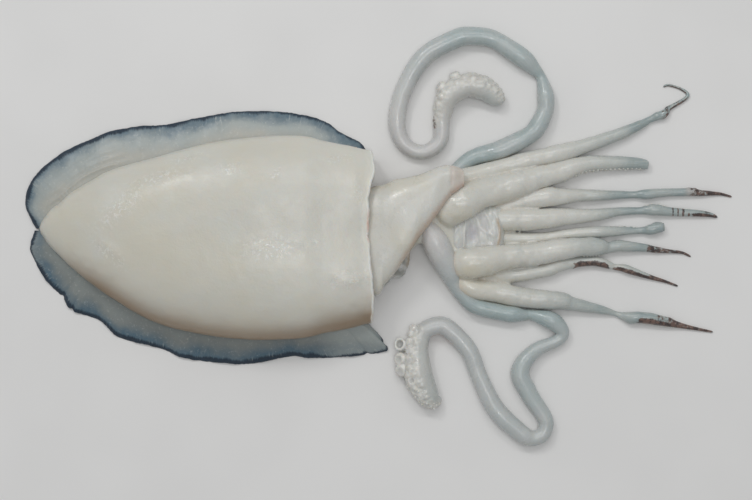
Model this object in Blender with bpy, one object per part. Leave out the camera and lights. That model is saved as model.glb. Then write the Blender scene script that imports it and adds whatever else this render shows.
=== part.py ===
"""A whole raw cuttlefish with its skin off, lying belly up on a flat surface.

The broad mantle points its tail at -X and its open rim at +X. The fins run along both sides of it and meet
at the tail. The funnel leans out of the rim over the head, eight arms lie fanned out towards +X, and a long
tentacle with a club of suckers lies in loops on either side of them.

The animal is one piece, so it is one solid: every part is modelled by itself, all of them are fused by one
Boolean union, and the underside is cut flat where it rests. Stations and routes are in millimetres, and the
origin is on the surface that the animal lies on, under the middle of its outline.
"""
import math

import bmesh
import bpy
from mathutils import Vector

MM = 0.001
WELD = 0.00001
NAME = "cuttlefish"

# Driving sizes, in millimetres
MANTLE_SIDE_HEIGHT = 0.36       # share of the mantle's height at which it is widest
MANTLE_CROWN = 2.2              # fullness of the belly, 2 is an ellipse
MANTLE_KEEL = 3.2               # fullness of the back, which lies nearly flat
VALLEY_DEPTH = 3.0              # the soft belly dips along its middle, towards the rim
VALLEY_HALF_WIDTH = 13.0
VALLEY_STARTS_X = -110.0
VALLEY_FULL_X = -30.0
WALL = 4.6                      # the mantle's wall, as thick as the rim shows
POCKET_DEPTH = 15.0             # how far the mantle is open behind the rim
RIM_ROUNDING = ((0.8, 0.5), (1.6, 1.7), (1.1, 3.2))     # forward of the rim, in from its outside
RIM_WAVE_STARTS_X = -30.0       # from here to the rim, the rim's edge turns from straight to waved
RIM_BULGE = 3.2
RIM_BULGE_Y = 38.0
RIM_BULGE_WIDTH = 9.0
RIM_SHELF = 2.2
RIM_SHELF_WIDTH = 20.0
FIN_ROOT_AT_TAIL = 0.62         # how far towards the middle of the mantle a fin's root is buried
FIN_ROOT_AT_RIM = 0.42
FIN_ROOT_AIM_X = (-150.0, -60.0)
FIN_ACROSS = (0.0, 0.25, 0.5, 0.72, 0.88, 1.0)          # shares of the way from the root to the edge
FIN_EDGE = 1.3
FIN_RISE = 8.5
FIN_RISE_LENGTH = 18.0
FIN_RIPPLE = 1.1
FIN_RIPPLE_LENGTH = 23.0
FIN_RIPPLE_REACH = 6.0
SINK = 1.0                      # how far the parts reach below the surface before they are cut flat
SLAB = (600.0, 600.0, 100.0)

# Mantle, from the tail to the rim: x, middle y, half width, height
MANTLE = (
    (-183.5, 4.6, 4.4, 9.0), (-179.9, 4.6, 10.4, 14.0), (-174.2, 3.9, 15.2, 18.0),
    (-168.6, 3.7, 20.4, 21.0), (-157.4, 2.5, 28.3, 26.0), (-146.3, 1.5, 34.9, 29.5),
    (-124.4, -1.8, 44.4, 34.0), (-97.1, -1.7, 51.9, 37.0), (-69.8, -1.2, 55.4, 38.0),
    (-42.7, -0.4, 55.7, 37.0), (-29.1, -0.4, 52.7, 35.0), (-15.5, -0.3, 50.1, 33.0),
    (-6.0, -0.1, 47.4, 31.0),
)

# Outer edges of the fins, from the notch at the tail to the rim: x, y
FIN_PLUS_Y = (
    (-188.6, 4.3), (-193.5, 14.1), (-194.3, 21.5), (-191.5, 29.6), (-183.3, 39.5), (-170.7, 48.0),
    (-158.7, 53.6), (-146.0, 58.5), (-129.8, 61.2), (-117.8, 61.7), (-98.1, 65.6), (-75.8, 69.0),
    (-53.2, 68.7), (-31.6, 64.6), (-21.5, 58.0), (-9.9, 51.8), (-6.0, 46.5),
)
FIN_MINUS_Y = (
    (-189.3, 3.4), (-191.3, -4.2), (-190.7, -10.5), (-182.9, -24.2), (-174.5, -33.1), (-168.8, -40.8),
    (-153.3, -46.4), (-142.1, -55.9), (-120.2, -61.6), (-108.3, -66.6), (-88.3, -69.6), (-69.9, -70.3),
    (-48.8, -66.1), (-37.5, -67.1), (-15.7, -66.1), (2.0, -63.9), (5.5, -61.4), (2.0, -55.5), (-4.4, -48.5),
)

# Head, from inside the mantle to the crown of arms: the two side points x, y, then the height
HEAD = (
    ((-24.0, 17.0), (-24.0, -22.0), 19.0), ((-1.9, 22.0), (-1.9, -26.0), 22.0),
    ((11.7, 28.6), (11.7, -14.0), 22.0), ((22.6, 31.8), (22.6, -4.0), 20.0),
    ((33.5, 35.1), (31.4, -10.7), 17.0), ((42.3, 34.6), (39.0, -25.4), 15.0),
    ((51.1, 32.0), (49.0, -29.3), 11.5), ((62.2, 26.6), (61.1, -25.5), 5.0),
)

# Funnel, from inside the mantle to its mouth: the two side points, then the lower and upper height
FUNNEL = (
    ((-24.0, 22.0), (-24.0, -26.0), 5.0, 24.0), ((-1.9, 27.1), (-1.9, -32.4), 4.0, 26.0),
    ((3.5, 28.2), (3.5, -26.2), 4.5, 27.0), ((9.5, 30.9), (9.5, -19.4), 5.5, 27.5),
    ((16.0, 32.0), (13.8, -13.4), 7.0, 28.0), ((22.5, 33.7), (17.6, -7.7), 9.0, 28.0),
    ((28.4, 36.2), (22.2, -0.2), 10.5, 27.5), ((33.3, 38.0), (28.3, 7.3), 12.0, 27.0),
    ((36.6, 38.5), (33.8, 14.5), 13.0, 26.0), ((38.9, 38.5), (38.9, 21.7), 14.0, 25.0),
    ((42.0, 37.5), (42.8, 25.6), 15.0, 24.0), ((45.0, 35.4), (45.4, 29.4), 16.5, 22.5),
)
FUNNEL_MOUTH = (-5.6, 1.4)      # from the funnel's mouth to the bottom of its hollow
FUNNEL_LIP = 1.3

# The torn film that hangs from the funnel's edge, and the folded membrane round the mouth
FLAP = (
    ((-2.0, -22.0), (-3.0, -32.6), 0.0, 6.0), ((4.0, -18.0), (3.6, -26.6), 0.0, 6.5),
    ((9.0, -14.0), (8.4, -22.2), 0.0, 6.0), ((12.0, -10.0), (11.6, -23.2), 0.0, 5.0),
    ((15.0, -6.0), (15.4, -18.6), 0.0, 5.0), ((17.0, -3.0), (17.2, -13.4), 0.0, 6.0),
)
MEMBRANE = (
    ((37.0, 12.0), (37.0, -8.0), 12.0), ((47.0, 14.0), (47.0, -7.5), 11.0),
    ((58.0, 15.0), (58.0, -7.0), 10.5), ((66.0, 13.5), (66.5, -5.5), 9.5),
    ((68.5, 11.0), (68.5, -3.5), 4.0),
)
FOLDS = (
    ((43.5, -4.0, 11.0, 1.4), (45.5, 2.0, 12.0, 1.7), (47.0, 8.0, 12.5, 1.6), (50.0, 13.5, 11.5, 1.0)),
    ((52.0, -4.5, 10.5, 1.2), (53.0, 3.0, 11.5, 1.6), (54.0, 9.0, 12.0, 1.6), (57.0, 15.0, 11.0, 1.0)),
    ((66.0, -4.0, 9.0, 1.0), (67.0, 1.5, 10.2, 1.3), (66.5, 8.0, 10.2, 1.3), (63.5, 14.5, 9.5, 1.0)),
)

# Arms, from the crown to the tip: x, y, height of the middle, radius
ARMS = (
    ((40.0, 29.6, 10.0, 5.5), (52.7, 33.8, 8.0, 4.7), (67.0, 37.7, 6.5, 4.4), (84.0, 42.2, 5.6, 4.8),
     (100.6, 46.0, 3.9, 4.7), (113.2, 49.6, 3.3, 3.9), (132.5, 56.3, 2.7, 3.2), (143.6, 61.3, 2.0, 2.4),
     (148.0, 63.8, 1.5, 1.8), (156.8, 67.5, 1.8, 2.1), (159.6, 70.4, 1.1, 1.3), (165.7, 73.9, 0.9, 1.0),
     (169.3, 76.4, 0.8, 1.0), (169.8, 78.6, 0.8, 0.9), (165.7, 81.4, 0.6, 0.7), (159.2, 83.2, 0.6, 0.6),
     (156.4, 82.2, 0.5, 0.5)),
    ((31.0, 11.4, 11.5, 6.6), (36.4, 15.0, 12.0, 8.6), (46.0, 18.7, 12.3, 9.9), (55.3, 23.2, 10.5, 8.2),
     (66.3, 25.5, 8.5, 7.7),
     (77.3, 29.0, 7.0, 7.2), (88.4, 32.5, 5.6, 6.3), (99.4, 35.4, 4.6, 5.8), (110.4, 39.1, 4.0, 4.7),
     (121.5, 40.4, 3.4, 4.0), (141.3, 40.2, 2.6, 3.1), (147.9, 39.0, 2.2, 2.6)),
    ((61.0, 15.0, 6.0, 3.9), (74.7, 18.3, 5.0, 4.4), (91.2, 21.6, 4.7, 5.6), (99.5, 21.9, 4.0, 4.7),
     (110.5, 22.6, 2.9, 3.5), (121.5, 22.6, 2.6, 3.0), (139.2, 22.9, 1.6, 1.9), (146.8, 23.2, 2.2, 2.6),
     (155.7, 24.0, 2.0, 2.3), (171.1, 24.4, 1.8, 2.1), (175.0, 23.7, 1.3, 1.5), (188.3, 23.3, 0.6, 0.7),
     (194.3, 21.8, 0.5, 0.5)),
    ((54.4, 9.5, 6.0, 5.5), (66.5, 9.2, 5.5, 6.4), (88.4, 9.6, 4.9, 5.7), (99.5, 10.8, 4.1, 4.8),
     (110.5, 11.3, 3.4, 4.0), (121.5, 12.1, 2.7, 3.2), (132.6, 13.7, 1.9, 2.3), (144.7, 14.2, 1.7, 2.0),
     (151.8, 14.5, 2.3, 2.8), (161.2, 13.5, 1.9, 2.3), (176.6, 12.6, 1.4, 1.7), (182.2, 11.9, 1.1, 1.3),
     (186.4, 10.6, 0.6, 0.6)),
    ((54.5, -0.9, 5.0, 4.1), (72.1, -1.2, 2.9, 3.5), (86.0, -1.1, 2.7, 3.2), (94.1, -0.2, 2.4, 2.8),
     (105.1, 1.6, 2.2, 2.6), (121.5, 2.6, 2.6, 3.0), (142.5, 3.2, 1.5, 1.8), (149.0, 3.7, 2.4, 2.8),
     (153.4, 4.8, 2.3, 2.8), (156.2, 4.9, 1.9, 2.2)),
    ((41.0, -14.0, 9.5, 7.2), (47.1, -14.6, 10.5, 8.5), (55.3, -14.1, 10.5, 8.4), (66.3, -11.7, 9.0, 6.8),
     (77.3, -10.5, 7.6, 6.4), (88.3, -9.4, 6.4, 6.2), (99.3, -7.1, 5.6, 5.9), (108.7, -6.0, 5.0, 5.2),
     (117.0, -5.5, 4.2, 5.0), (122.0, -5.8, 3.6, 4.3), (126.5, -6.1, 2.6, 3.0), (132.5, -5.2, 2.7, 3.2),
     (146.4, -6.3, 1.6, 1.9), (151.9, -7.4, 1.0, 1.2), (166.8, -8.9, 0.6, 0.6), (171.8, -11.1, 0.5, 0.5)),
    ((52.8, -22.2, 5.0, 4.4), (72.1, -21.4, 3.5, 4.1), (92.4, -18.1, 3.2, 3.9), (97.9, -16.2, 2.9, 3.5),
     (106.2, -14.4, 2.4, 2.9), (116.1, -13.6, 2.2, 2.6), (121.6, -14.1, 2.3, 2.7), (126.0, -15.5, 1.9, 2.2),
     (130.5, -17.0, 1.4, 1.5), (134.8, -17.4, 1.7, 2.1), (139.2, -18.9, 1.7, 2.1), (150.3, -22.6, 1.0, 1.2),
     (157.5, -24.7, 0.7, 0.8), (164.7, -27.3, 0.5, 0.5)),
    ((45.6, -26.0, 8.0, 5.5), (52.8, -28.5, 6.5, 5.5), (62.2, -29.9, 4.9, 5.8), (77.5, -33.1, 4.7, 5.5),
     (99.5, -35.3, 4.1, 4.8), (106.1, -36.9, 3.1, 3.7), (123.3, -40.5, 1.9, 2.3), (131.0, -42.6, 1.2, 1.4),
     (138.0, -44.4, 2.6, 3.0), (144.6, -44.5, 2.6, 3.1), (155.6, -46.3, 2.3, 2.8), (167.3, -49.2, 1.2, 1.4),
     (183.9, -52.5, 0.5, 0.5)),
)

# Tentacles, from under the funnel to the end of the club: x, y, height of the middle, radius
TENTACLE_PLUS_Y = (
    (40.2, 34.2, 6.0, 3.9), (51.2, 42.7, 3.9, 4.5), (67.1, 47.7, 4.5, 5.3), (82.2, 55.3, 4.2, 4.9),
    (87.9, 61.5, 4.2, 5.0), (91.5, 69.3, 3.8, 4.5), (91.7, 76.4, 3.9, 4.6), (90.6, 82.8, 3.0, 3.6),
    (89.0, 87.8, 2.3, 2.8), (85.1, 92.2, 3.3, 3.9), (79.2, 97.5, 4.4, 5.2), (63.8, 107.7, 4.2, 4.9),
    (52.9, 109.8, 4.3, 5.0), (43.0, 108.6, 4.4, 5.2), (25.5, 98.8, 4.3, 5.1), (14.3, 81.4, 4.1, 4.8),
    (10.1, 63.3, 4.0, 4.7), (14.3, 50.5, 3.6, 4.2), (24.7, 46.3, 3.4, 4.0), (33.7, 52.6, 3.6, 4.3),
    (34.7, 66.0, 4.3, 5.0), (38.3, 77.4, 5.6, 6.6), (48.4, 82.8, 5.7, 6.7), (54.4, 82.3, 5.8, 6.9),
    (60.5, 79.6, 5.4, 6.3), (64.9, 75.6, 4.2, 5.0), (67.3, 72.4, 2.6, 2.9),
)
TENTACLE_MINUS_Y = (
    (24.7, 7.8, 13.0, 5.0), (28.5, 1.3, 13.0, 6.4), (32.2, -5.4, 12.5, 7.1), (39.0, -18.6, 9.5, 6.1),
    (42.3, -26.0, 7.5, 4.5), (52.1, -37.2, 5.0, 4.6), (67.1, -41.5, 4.0, 4.7), (74.3, -42.5, 3.9, 4.6),
    (79.5, -42.9, 3.0, 3.5), (83.7, -42.8, 2.6, 3.1), (93.7, -45.6, 4.0, 4.7), (98.4, -48.8, 3.8, 4.5),
    (101.0, -53.0, 3.1, 3.7), (97.9, -57.1, 2.9, 3.4), (85.3, -63.1, 3.4, 4.0), (77.6, -73.9, 4.3, 5.1),
    (82.3, -86.0, 4.1, 4.8), (90.7, -98.6, 3.7, 4.4), (91.8, -103.9, 3.5, 4.1), (89.9, -108.6, 3.6, 4.2),
    (84.7, -110.6, 3.7, 4.3), (78.3, -108.0, 4.3, 5.0), (64.2, -94.4, 4.5, 5.1), (55.7, -77.9, 4.0, 4.6),
    (49.0, -61.7, 4.2, 4.9), (38.0, -50.5, 4.3, 5.1), (31.8, -49.1, 4.2, 5.0), (24.5, -52.6, 4.4, 5.2),
    (21.2, -61.6, 5.2, 6.2), (21.9, -74.2, 6.4, 7.5), (23.6, -80.7, 6.5, 7.6), (26.5, -86.2, 5.8, 6.8),
    (30.4, -90.0, 3.8, 4.6), (34.6, -89.5, 2.6, 2.6),
)

# Suckers on the clubs: the cup's middle x, y, z, the way it faces x, y, z, and its radius
SUCKERS_MINUS_Y = (
    (11.2, -59.2, 6.5, -0.5, 0.1, 0.85, 3.1), (11.0, -67.2, 5.5, -0.8, -0.3, 0.5, 3.1),
    (12.2, -73.2, 4.6, -0.8, -0.3, 0.3, 3.1), (17.4, -50.2, 7.0, -0.5, 0.6, 0.6, 2.3),
    (15.2, -55.4, 8.8, -0.5, 0.1, 0.85, 2.2), (16.6, -63.4, 11.5, -0.3, 0.0, 0.95, 2.1),
    (18.6, -73.1, 12.8, -0.2, 0.1, 0.95, 2.1), (18.2, -78.4, 12.6, -0.3, 0.0, 0.95, 2.4),
    (20.5, -84.6, 11.6, -0.4, -0.2, 0.9, 1.9),
)
SUCKERS_PLUS_Y = (
    (34.4, 81.3, 6.5, -0.8, 0.5, 0.3, 3.0), (42.0, 87.6, 6.5, -0.4, 0.85, 0.3, 2.9),
    (49.8, 87.4, 8.0, 0.0, 0.85, 0.5, 2.5), (55.6, 87.2, 8.0, 0.1, 0.85, 0.5, 2.0),
    (60.4, 85.2, 7.5, 0.4, 0.8, 0.5, 1.9), (31.8, 71.6, 6.0, -0.9, 0.1, 0.4, 1.8),
    (32.4, 76.2, 7.0, -0.9, 0.2, 0.5, 1.7), (45.4, 84.4, 12.4, -0.2, 0.4, 0.9, 1.9),
    (52.4, 84.6, 12.6, 0.0, 0.4, 0.9, 1.8),
)
SUCKER_STALK = 0.5              # a stalk's radius, in radii of its cup
SUCKER_BACK = 1.0               # how far behind the cup's middle its stalk ends, in radii
SUCKER_CUP = ((-0.6, 0.95), (0.0, 1.0), (0.15, 0.8), (-0.4, 0.55))      # along its axis, radius, in radii
SUCKER_SIDES = 8

MANTLE_SIDES = 34
MANTLE_STEP = 9.0
FIN_STEP = 11.0
FOLD_STEP = 5.0
ARM_STEP = 7.0
TENTACLE_STEP = 6.5
SUCKER_ROOT_STEP = 1.5
LOFT_SIDES = 22
MEMBRANE_SIDES = 14
FLAP_SIDES = 10
LOFT_FULLNESS = 2.2
LIMB_BEVEL_RESOLUTION = 2       # eight sides
SHARP_ANGLE = math.radians(50)

FLESH = (0.53, 0.51, 0.44, 1.0)
FLESH_ROUGHNESS = 0.35


def clear_scene():
    for obj in list(bpy.data.objects):
        bpy.data.objects.remove(obj, do_unlink=True)


def new_collection(name):
    collection = bpy.data.collections.new(name)
    bpy.context.scene.collection.children.link(collection)
    return collection


def flesh_material():
    material = bpy.data.materials.new("raw_flesh")
    material.use_nodes = True
    shader = material.node_tree.nodes["Principled BSDF"]
    shader.inputs["Base Color"].default_value = FLESH
    shader.inputs["Roughness"].default_value = FLESH_ROUGHNESS
    return material


def smooth_route(stations, step):
    """Points about step apart on the smooth curve through the stations, whose first values are x and y."""
    values = [Vector(s) for s in stations]
    values = [2 * values[0] - values[1]] + values + [2 * values[-1] - values[-2]]
    route = []
    for before, start, end, after in zip(values, values[1:], values[2:], values[3:]):
        length = (end.xy - start.xy).length
        pieces = max(1, round(length / step))
        for i in range(pieces):
            t = i / pieces
            route.append(0.5 * (2 * start + (end - before) * t
                                + (2 * before - 5 * start + 4 * end - after) * t ** 2
                                + (3 * start - before - 3 * end + after) * t ** 3))
    return route + [values[-2]]


def superellipse(angle, fullness):
    """The cosine and sine of a rounded box: fullness 2 is an ellipse, more is fuller."""
    c, s = math.cos(angle), math.sin(angle)
    return (math.copysign(abs(c) ** (2 / fullness), c), math.copysign(abs(s) ** (2 / fullness), s))


def loft(name, rings, collection):
    """A closed skin over rings of points in millimetres, all with the same number of points."""
    bm = bmesh.new()
    loops = [[bm.verts.new(Vector(p) * MM) for p in ring] for ring in rings]
    count = len(rings[0])
    for one, other in zip(loops, loops[1:]):
        for i in range(count):
            bm.faces.new((one[i], one[(i + 1) % count], other[(i + 1) % count], other[i]))
    bm.faces.new(reversed(loops[0]))
    bm.faces.new(loops[-1])
    bmesh.ops.triangulate(bm, faces=bm.faces[:])
    bmesh.ops.recalc_face_normals(bm, faces=bm.faces[:])
    mesh = bpy.data.meshes.new(name)
    bm.to_mesh(mesh)
    bm.free()
    obj = bpy.data.objects.new(name, mesh)
    collection.objects.link(obj)
    return obj


def spanned_ring(side_a, side_b, low, high, sides=LOFT_SIDES):
    """A rounded section that spans two side points and reaches from the low to the high height."""
    a, b = Vector(side_a), Vector(side_b)
    middle, half = (a + b) / 2, (a - b) / 2
    ring = []
    for i in range(sides):
        c, s = superellipse(2 * math.pi * i / sides, LOFT_FULLNESS)
        place = middle + half * c
        ring.append((place.x, place.y, (low + high) / 2 + (high - low) / 2 * s))
    return ring


def rim_wave(y):
    """How far the rim stands forward of its middle at a given y: it bulges at one corner."""
    if y > 0:
        return RIM_BULGE * math.exp(-((y - RIM_BULGE_Y) / RIM_BULGE_WIDTH) ** 2)
    return RIM_SHELF * min(1.0, -y / RIM_SHELF_WIDTH) ** 2


def ramp(value, start, end):
    """From 0 at the start to 1 at the end, and no less or more beyond them."""
    return min(1.0, max(0.0, (value - start) / (end - start)))


def mantle_ring(station, inset=0.0):
    """The mantle's section at a station, drawn in by the inset for the inside of its wall."""
    x, middle, half, height = station
    side = MANTLE_SIDE_HEIGHT * height
    towards_rim = ramp(x, VALLEY_STARTS_X, VALLEY_FULL_X)
    at_rim = ramp(x, RIM_WAVE_STARTS_X, MANTLE[-1][0]) ** 2
    ring = []
    for i in range(MANTLE_SIDES):
        angle = 2 * math.pi * i / MANTLE_SIDES
        c, s = superellipse(angle, MANTLE_CROWN if math.sin(angle) > 0 else MANTLE_KEEL)
        y = (half - inset) * c
        if s > 0:
            z = side + (height - inset - side) * s
            z -= VALLEY_DEPTH * towards_rim * s * math.exp(-(y / VALLEY_HALF_WIDTH) ** 2)
        else:
            z = side + (side + SINK - inset) * s
        ring.append((x + at_rim * rim_wave(y + middle), y + middle, z))
    return ring


def make_mantle(collection):
    rim = MANTLE[-1]
    rings = [mantle_ring(tuple(station)) for station in smooth_route(MANTLE, MANTLE_STEP)]
    for forward, inset in (*RIM_ROUNDING, (0.0, WALL), (-POCKET_DEPTH, WALL)):
        rings.append(mantle_ring((rim[0] + forward, *rim[1:]), inset))
    return loft("mantle", rings, collection)


def make_fin(name, edge, collection):
    """A fin that slopes from under the mantle's side to a thin rippled edge on the surface."""
    rings = []
    along = 0.0
    route = smooth_route(edge, FIN_STEP)
    for i, outer in enumerate(route):
        along += (outer - route[i - 1]).length if i else 0.0
        target = Vector((min(FIN_ROOT_AIM_X[1], max(FIN_ROOT_AIM_X[0], outer.x)), 0.0))
        buried = FIN_ROOT_AT_TAIL + (FIN_ROOT_AT_RIM - FIN_ROOT_AT_TAIL) * i / (len(route) - 1)
        root = outer.lerp(target, buried)
        ripple = FIN_RIPPLE * (1 + math.sin(2 * math.pi * along / FIN_RIPPLE_LENGTH)) / 2
        top, bottom = [], []
        for share in FIN_ACROSS:
            place = root.lerp(outer, share)
            inward = (place - outer).length
            lift = ripple * math.exp(-inward / FIN_RIPPLE_REACH)
            rise = FIN_RISE * (1 - math.exp(-inward / FIN_RISE_LENGTH))
            top.append((place.x, place.y, FIN_EDGE + rise + lift))
            bottom.append((place.x, place.y, max(0.3, lift) if share == 1.0 else -SINK))
        rings.append(top + bottom[::-1])
    return loft(name, rings, collection)


def make_head(collection):
    rings = [spanned_ring(a, b, -SINK, height) for a, b, height in HEAD]
    loft("head", rings, collection)
    rings = [spanned_ring(a, b, -SINK, height, MEMBRANE_SIDES) for a, b, height in MEMBRANE]
    loft("membrane", rings, collection)
    for i, fold in enumerate(FOLDS):
        make_limb(f"fold_{i}", fold, FOLD_STEP, collection)


def make_funnel(collection):
    rings = [spanned_ring(*station) for station in FUNNEL]
    side_a, side_b, low, high = FUNNEL[-1]
    for back, lip in ((0.0, 0.3), (0.6, 0.6), (1.0, 1.0)):
        shift = Vector(FUNNEL_MOUTH) * back
        a = Vector(side_a) + shift - Vector((0.0, lip * FUNNEL_LIP))
        b = Vector(side_b) + shift + Vector((0.0, lip * FUNNEL_LIP))
        rings.append(spanned_ring(a, b, low + lip * FUNNEL_LIP, high - lip * FUNNEL_LIP))
    loft("funnel", rings, collection)
    rings = [spanned_ring(a, b, low - SINK, high, FLAP_SIDES) for a, b, low, high in FLAP]
    loft("flap", rings, collection)


def make_limb(name, stations, step, collection):
    """A round tapering limb: a bevelled curve along the route, made into a closed mesh."""
    route = smooth_route(stations, step)
    data = bpy.data.curves.new(name, "CURVE")
    data.dimensions = "3D"
    data.twist_mode = "Z_UP"
    data.bevel_depth = MM
    data.bevel_resolution = LIMB_BEVEL_RESOLUTION
    data.use_fill_caps = True
    spline = data.splines.new("POLY")
    spline.points.add(len(route) - 1)
    for point, station in zip(spline.points, route):
        x, y, z, radius = station
        point.co = (x * MM, y * MM, z * MM, 1.0)
        point.radius = radius
    curve = bpy.data.objects.new(name + "_curve", data)
    collection.objects.link(curve)
    bpy.context.view_layer.update()
    mesh = bpy.data.meshes.new_from_object(curve.evaluated_get(bpy.context.evaluated_depsgraph_get()))
    bm = bmesh.new()
    bm.from_mesh(mesh)
    bmesh.ops.remove_doubles(bm, verts=bm.verts[:], dist=WELD)
    bmesh.ops.recalc_face_normals(bm, faces=bm.faces[:])
    bm.to_mesh(mesh)
    bm.free()
    obj = bpy.data.objects.new(name, mesh)
    obj.matrix_world = curve.matrix_world
    collection.objects.link(obj)
    bpy.data.objects.remove(curve, do_unlink=True)
    return obj


def nearest_station(place, route):
    return min(route, key=lambda station: (station.xyz - place).length)


def make_sucker(name, sucker, route, collection):
    """A cup with a dished face, on a stalk that rises out of the club's nearest point."""
    *middle, face_x, face_y, face_z, radius = sucker
    middle = Vector(middle)
    axis = Vector((face_x, face_y, face_z)).normalized()
    turn = axis.to_track_quat("Z", "Y")
    root = nearest_station(middle, route).xyz
    profile = [(root, SUCKER_STALK)]
    for along, share in ((-SUCKER_BACK, SUCKER_STALK), *SUCKER_CUP):
        profile.append((middle + axis * along * radius, share))
    rings = []
    for place, share in profile:
        ring = []
        for i in range(SUCKER_SIDES):
            angle = 2 * math.pi * i / SUCKER_SIDES
            ring.append(place + turn @ Vector((math.cos(angle), math.sin(angle), 0.0)) * radius * share)
        rings.append(ring)
    return loft(name, rings, collection)


def fuse(body, others):
    """Joins every object of the collection to the body with one Boolean union, then removes them."""
    union = body.modifiers.new("fuse", "BOOLEAN")
    union.operation = "UNION"
    union.operand_type = "COLLECTION"
    union.collection = others
    union.solver = "EXACT"
    apply_modifier(body, union)
    for obj in list(others.objects):
        bpy.data.objects.remove(obj, do_unlink=True)


def cut_flat(body, cutters):
    """Cuts off what reaches below the surface that the animal lies on."""
    bpy.ops.mesh.primitive_cube_add(size=1.0, location=(0.0, 0.0, -SLAB[2] * MM / 2))
    slab = bpy.context.object
    slab.name = "below_the_surface"
    slab.scale = Vector(SLAB) * MM
    slab.hide_render = True
    slab.display_type = "WIRE"
    for collection in slab.users_collection:
        collection.objects.unlink(slab)
    cutters.objects.link(slab)
    cut = body.modifiers.new("cut_flat", "BOOLEAN")
    cut.operation = "DIFFERENCE"
    cut.object = slab
    cut.solver = "EXACT"
    apply_modifier(body, cut)
    bpy.data.objects.remove(slab, do_unlink=True)


def apply_modifier(obj, modifier):
    bpy.context.view_layer.objects.active = obj
    bpy.context.view_layer.update()
    bpy.ops.object.modifier_apply(modifier=modifier.name)


def drop_scraps(body):
    """Keeps the largest connected body and drops any loose scrap that the cuts leave."""
    bm = bmesh.new()
    bm.from_mesh(body.data)
    left = set(bm.verts)
    islands = []
    while left:
        island, queue = set(), [left.pop()]
        while queue:
            vert = queue.pop()
            island.add(vert)
            for edge in vert.link_edges:
                other = edge.other_vert(vert)
                if other in left:
                    left.remove(other)
                    queue.append(other)
        islands.append(island)
    islands.sort(key=len)
    for island in islands[:-1]:
        bmesh.ops.delete(bm, geom=list(island), context="VERTS")
    bm.to_mesh(body.data)
    bm.free()


def main():
    clear_scene()
    parts = new_collection(NAME)
    pieces = new_collection("pieces")
    cutters = new_collection("cutters")
    body = make_mantle(parts)
    body.name = NAME
    make_fin("fin_plus_y", FIN_PLUS_Y, pieces)
    make_fin("fin_minus_y", FIN_MINUS_Y, pieces)
    make_head(pieces)
    make_funnel(pieces)
    for i, arm in enumerate(ARMS):
        make_limb(f"arm_{i + 1}", arm, ARM_STEP, pieces)
    for side, route, suckers in (("plus_y", TENTACLE_PLUS_Y, SUCKERS_PLUS_Y),
                                 ("minus_y", TENTACLE_MINUS_Y, SUCKERS_MINUS_Y)):
        make_limb(f"tentacle_{side}", route, TENTACLE_STEP, pieces)
        middle_line = smooth_route(route, SUCKER_ROOT_STEP)
        for i, sucker in enumerate(suckers):
            make_sucker(f"sucker_{side}_{i}", sucker, middle_line, pieces)
    fuse(body, pieces)
    cut_flat(body, cutters)
    drop_scraps(body)
    body.data.materials.clear()
    body.data.materials.append(flesh_material())
    body.data.shade_smooth()
    body.data.set_sharp_from_angle(angle=SHARP_ANGLE)


main()
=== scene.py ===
"""A whole raw cuttlefish with its skin off, lying belly up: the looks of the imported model.

The script is laid out as an add-on: an operator for each piece or group of like pieces, settings with their
sizes and colours, and a panel. Run as a script, it builds every piece in turn around the loaded frame.
Stations, routes and reliefs are in millimetres in the frame's own axes, and meshes are made in metres.
"""
import itertools
import math

import bmesh
import bpy
import numpy as np
from bpy.props import FloatProperty, FloatVectorProperty, IntProperty, PointerProperty
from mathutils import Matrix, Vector
from mathutils.kdtree import KDTree


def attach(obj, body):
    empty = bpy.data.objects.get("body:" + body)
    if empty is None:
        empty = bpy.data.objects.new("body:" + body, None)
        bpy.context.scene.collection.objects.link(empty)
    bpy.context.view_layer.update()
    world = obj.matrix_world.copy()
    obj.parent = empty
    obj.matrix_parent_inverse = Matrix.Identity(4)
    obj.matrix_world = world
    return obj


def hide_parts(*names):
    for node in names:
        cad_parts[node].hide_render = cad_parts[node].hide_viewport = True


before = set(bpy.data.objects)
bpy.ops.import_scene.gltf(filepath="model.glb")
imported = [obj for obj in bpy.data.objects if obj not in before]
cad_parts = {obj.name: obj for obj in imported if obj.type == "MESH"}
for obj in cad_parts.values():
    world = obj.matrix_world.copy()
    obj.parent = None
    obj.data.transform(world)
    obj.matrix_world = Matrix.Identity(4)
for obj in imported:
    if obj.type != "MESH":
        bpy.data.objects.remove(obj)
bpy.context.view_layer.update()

bl_info = {
    "name": "Raw cuttlefish",
    "version": (1, 0, 0),
    "blender": (4, 5, 0),
    "location": "3D View > Sidebar > Cuttlefish",
    "description": "Builds the skin, fins, arms, tentacles and stage of a whole raw cuttlefish",
    "category": "Add Mesh",
}

MM = 0.001
NODE = "cuttlefish"
BODY = "root"
GROUND_GAP = 0.04               # what lies on the surface keeps this clear of it

# Mantle, from the tail to the rim: x, middle y, half width, height
MANTLE = (
    (-186.0, 4.6, 0.6, 4.0), (-185.2, 4.6, 3.0, 7.0), (-183.5, 4.6, 5.6, 9.6), (-179.9, 4.6, 10.4, 14.0),
    (-174.2, 3.9, 15.2, 18.0), (-168.6, 3.7, 20.4, 21.0), (-157.4, 2.5, 28.3, 26.0),
    (-146.3, 1.5, 34.9, 29.5), (-124.4, -1.8, 44.4, 34.0), (-97.1, -1.7, 51.9, 37.0),
    (-69.8, -1.2, 55.4, 38.0), (-42.7, -0.4, 55.7, 37.0), (-29.1, -0.4, 52.7, 35.0),
    (-15.5, -0.3, 50.1, 33.0), (-6.0, -0.1, 47.4, 31.0),
)
MANTLE_SIDE_HEIGHT = 0.36       # where its section is widest, as a share of its height
MANTLE_CROWN = 2.2              # fullness of its section above there
MANTLE_KEEL = 3.2               # and below
MANTLE_LEAST_HALF_WIDTH = 0.3   # at the very tail
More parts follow.
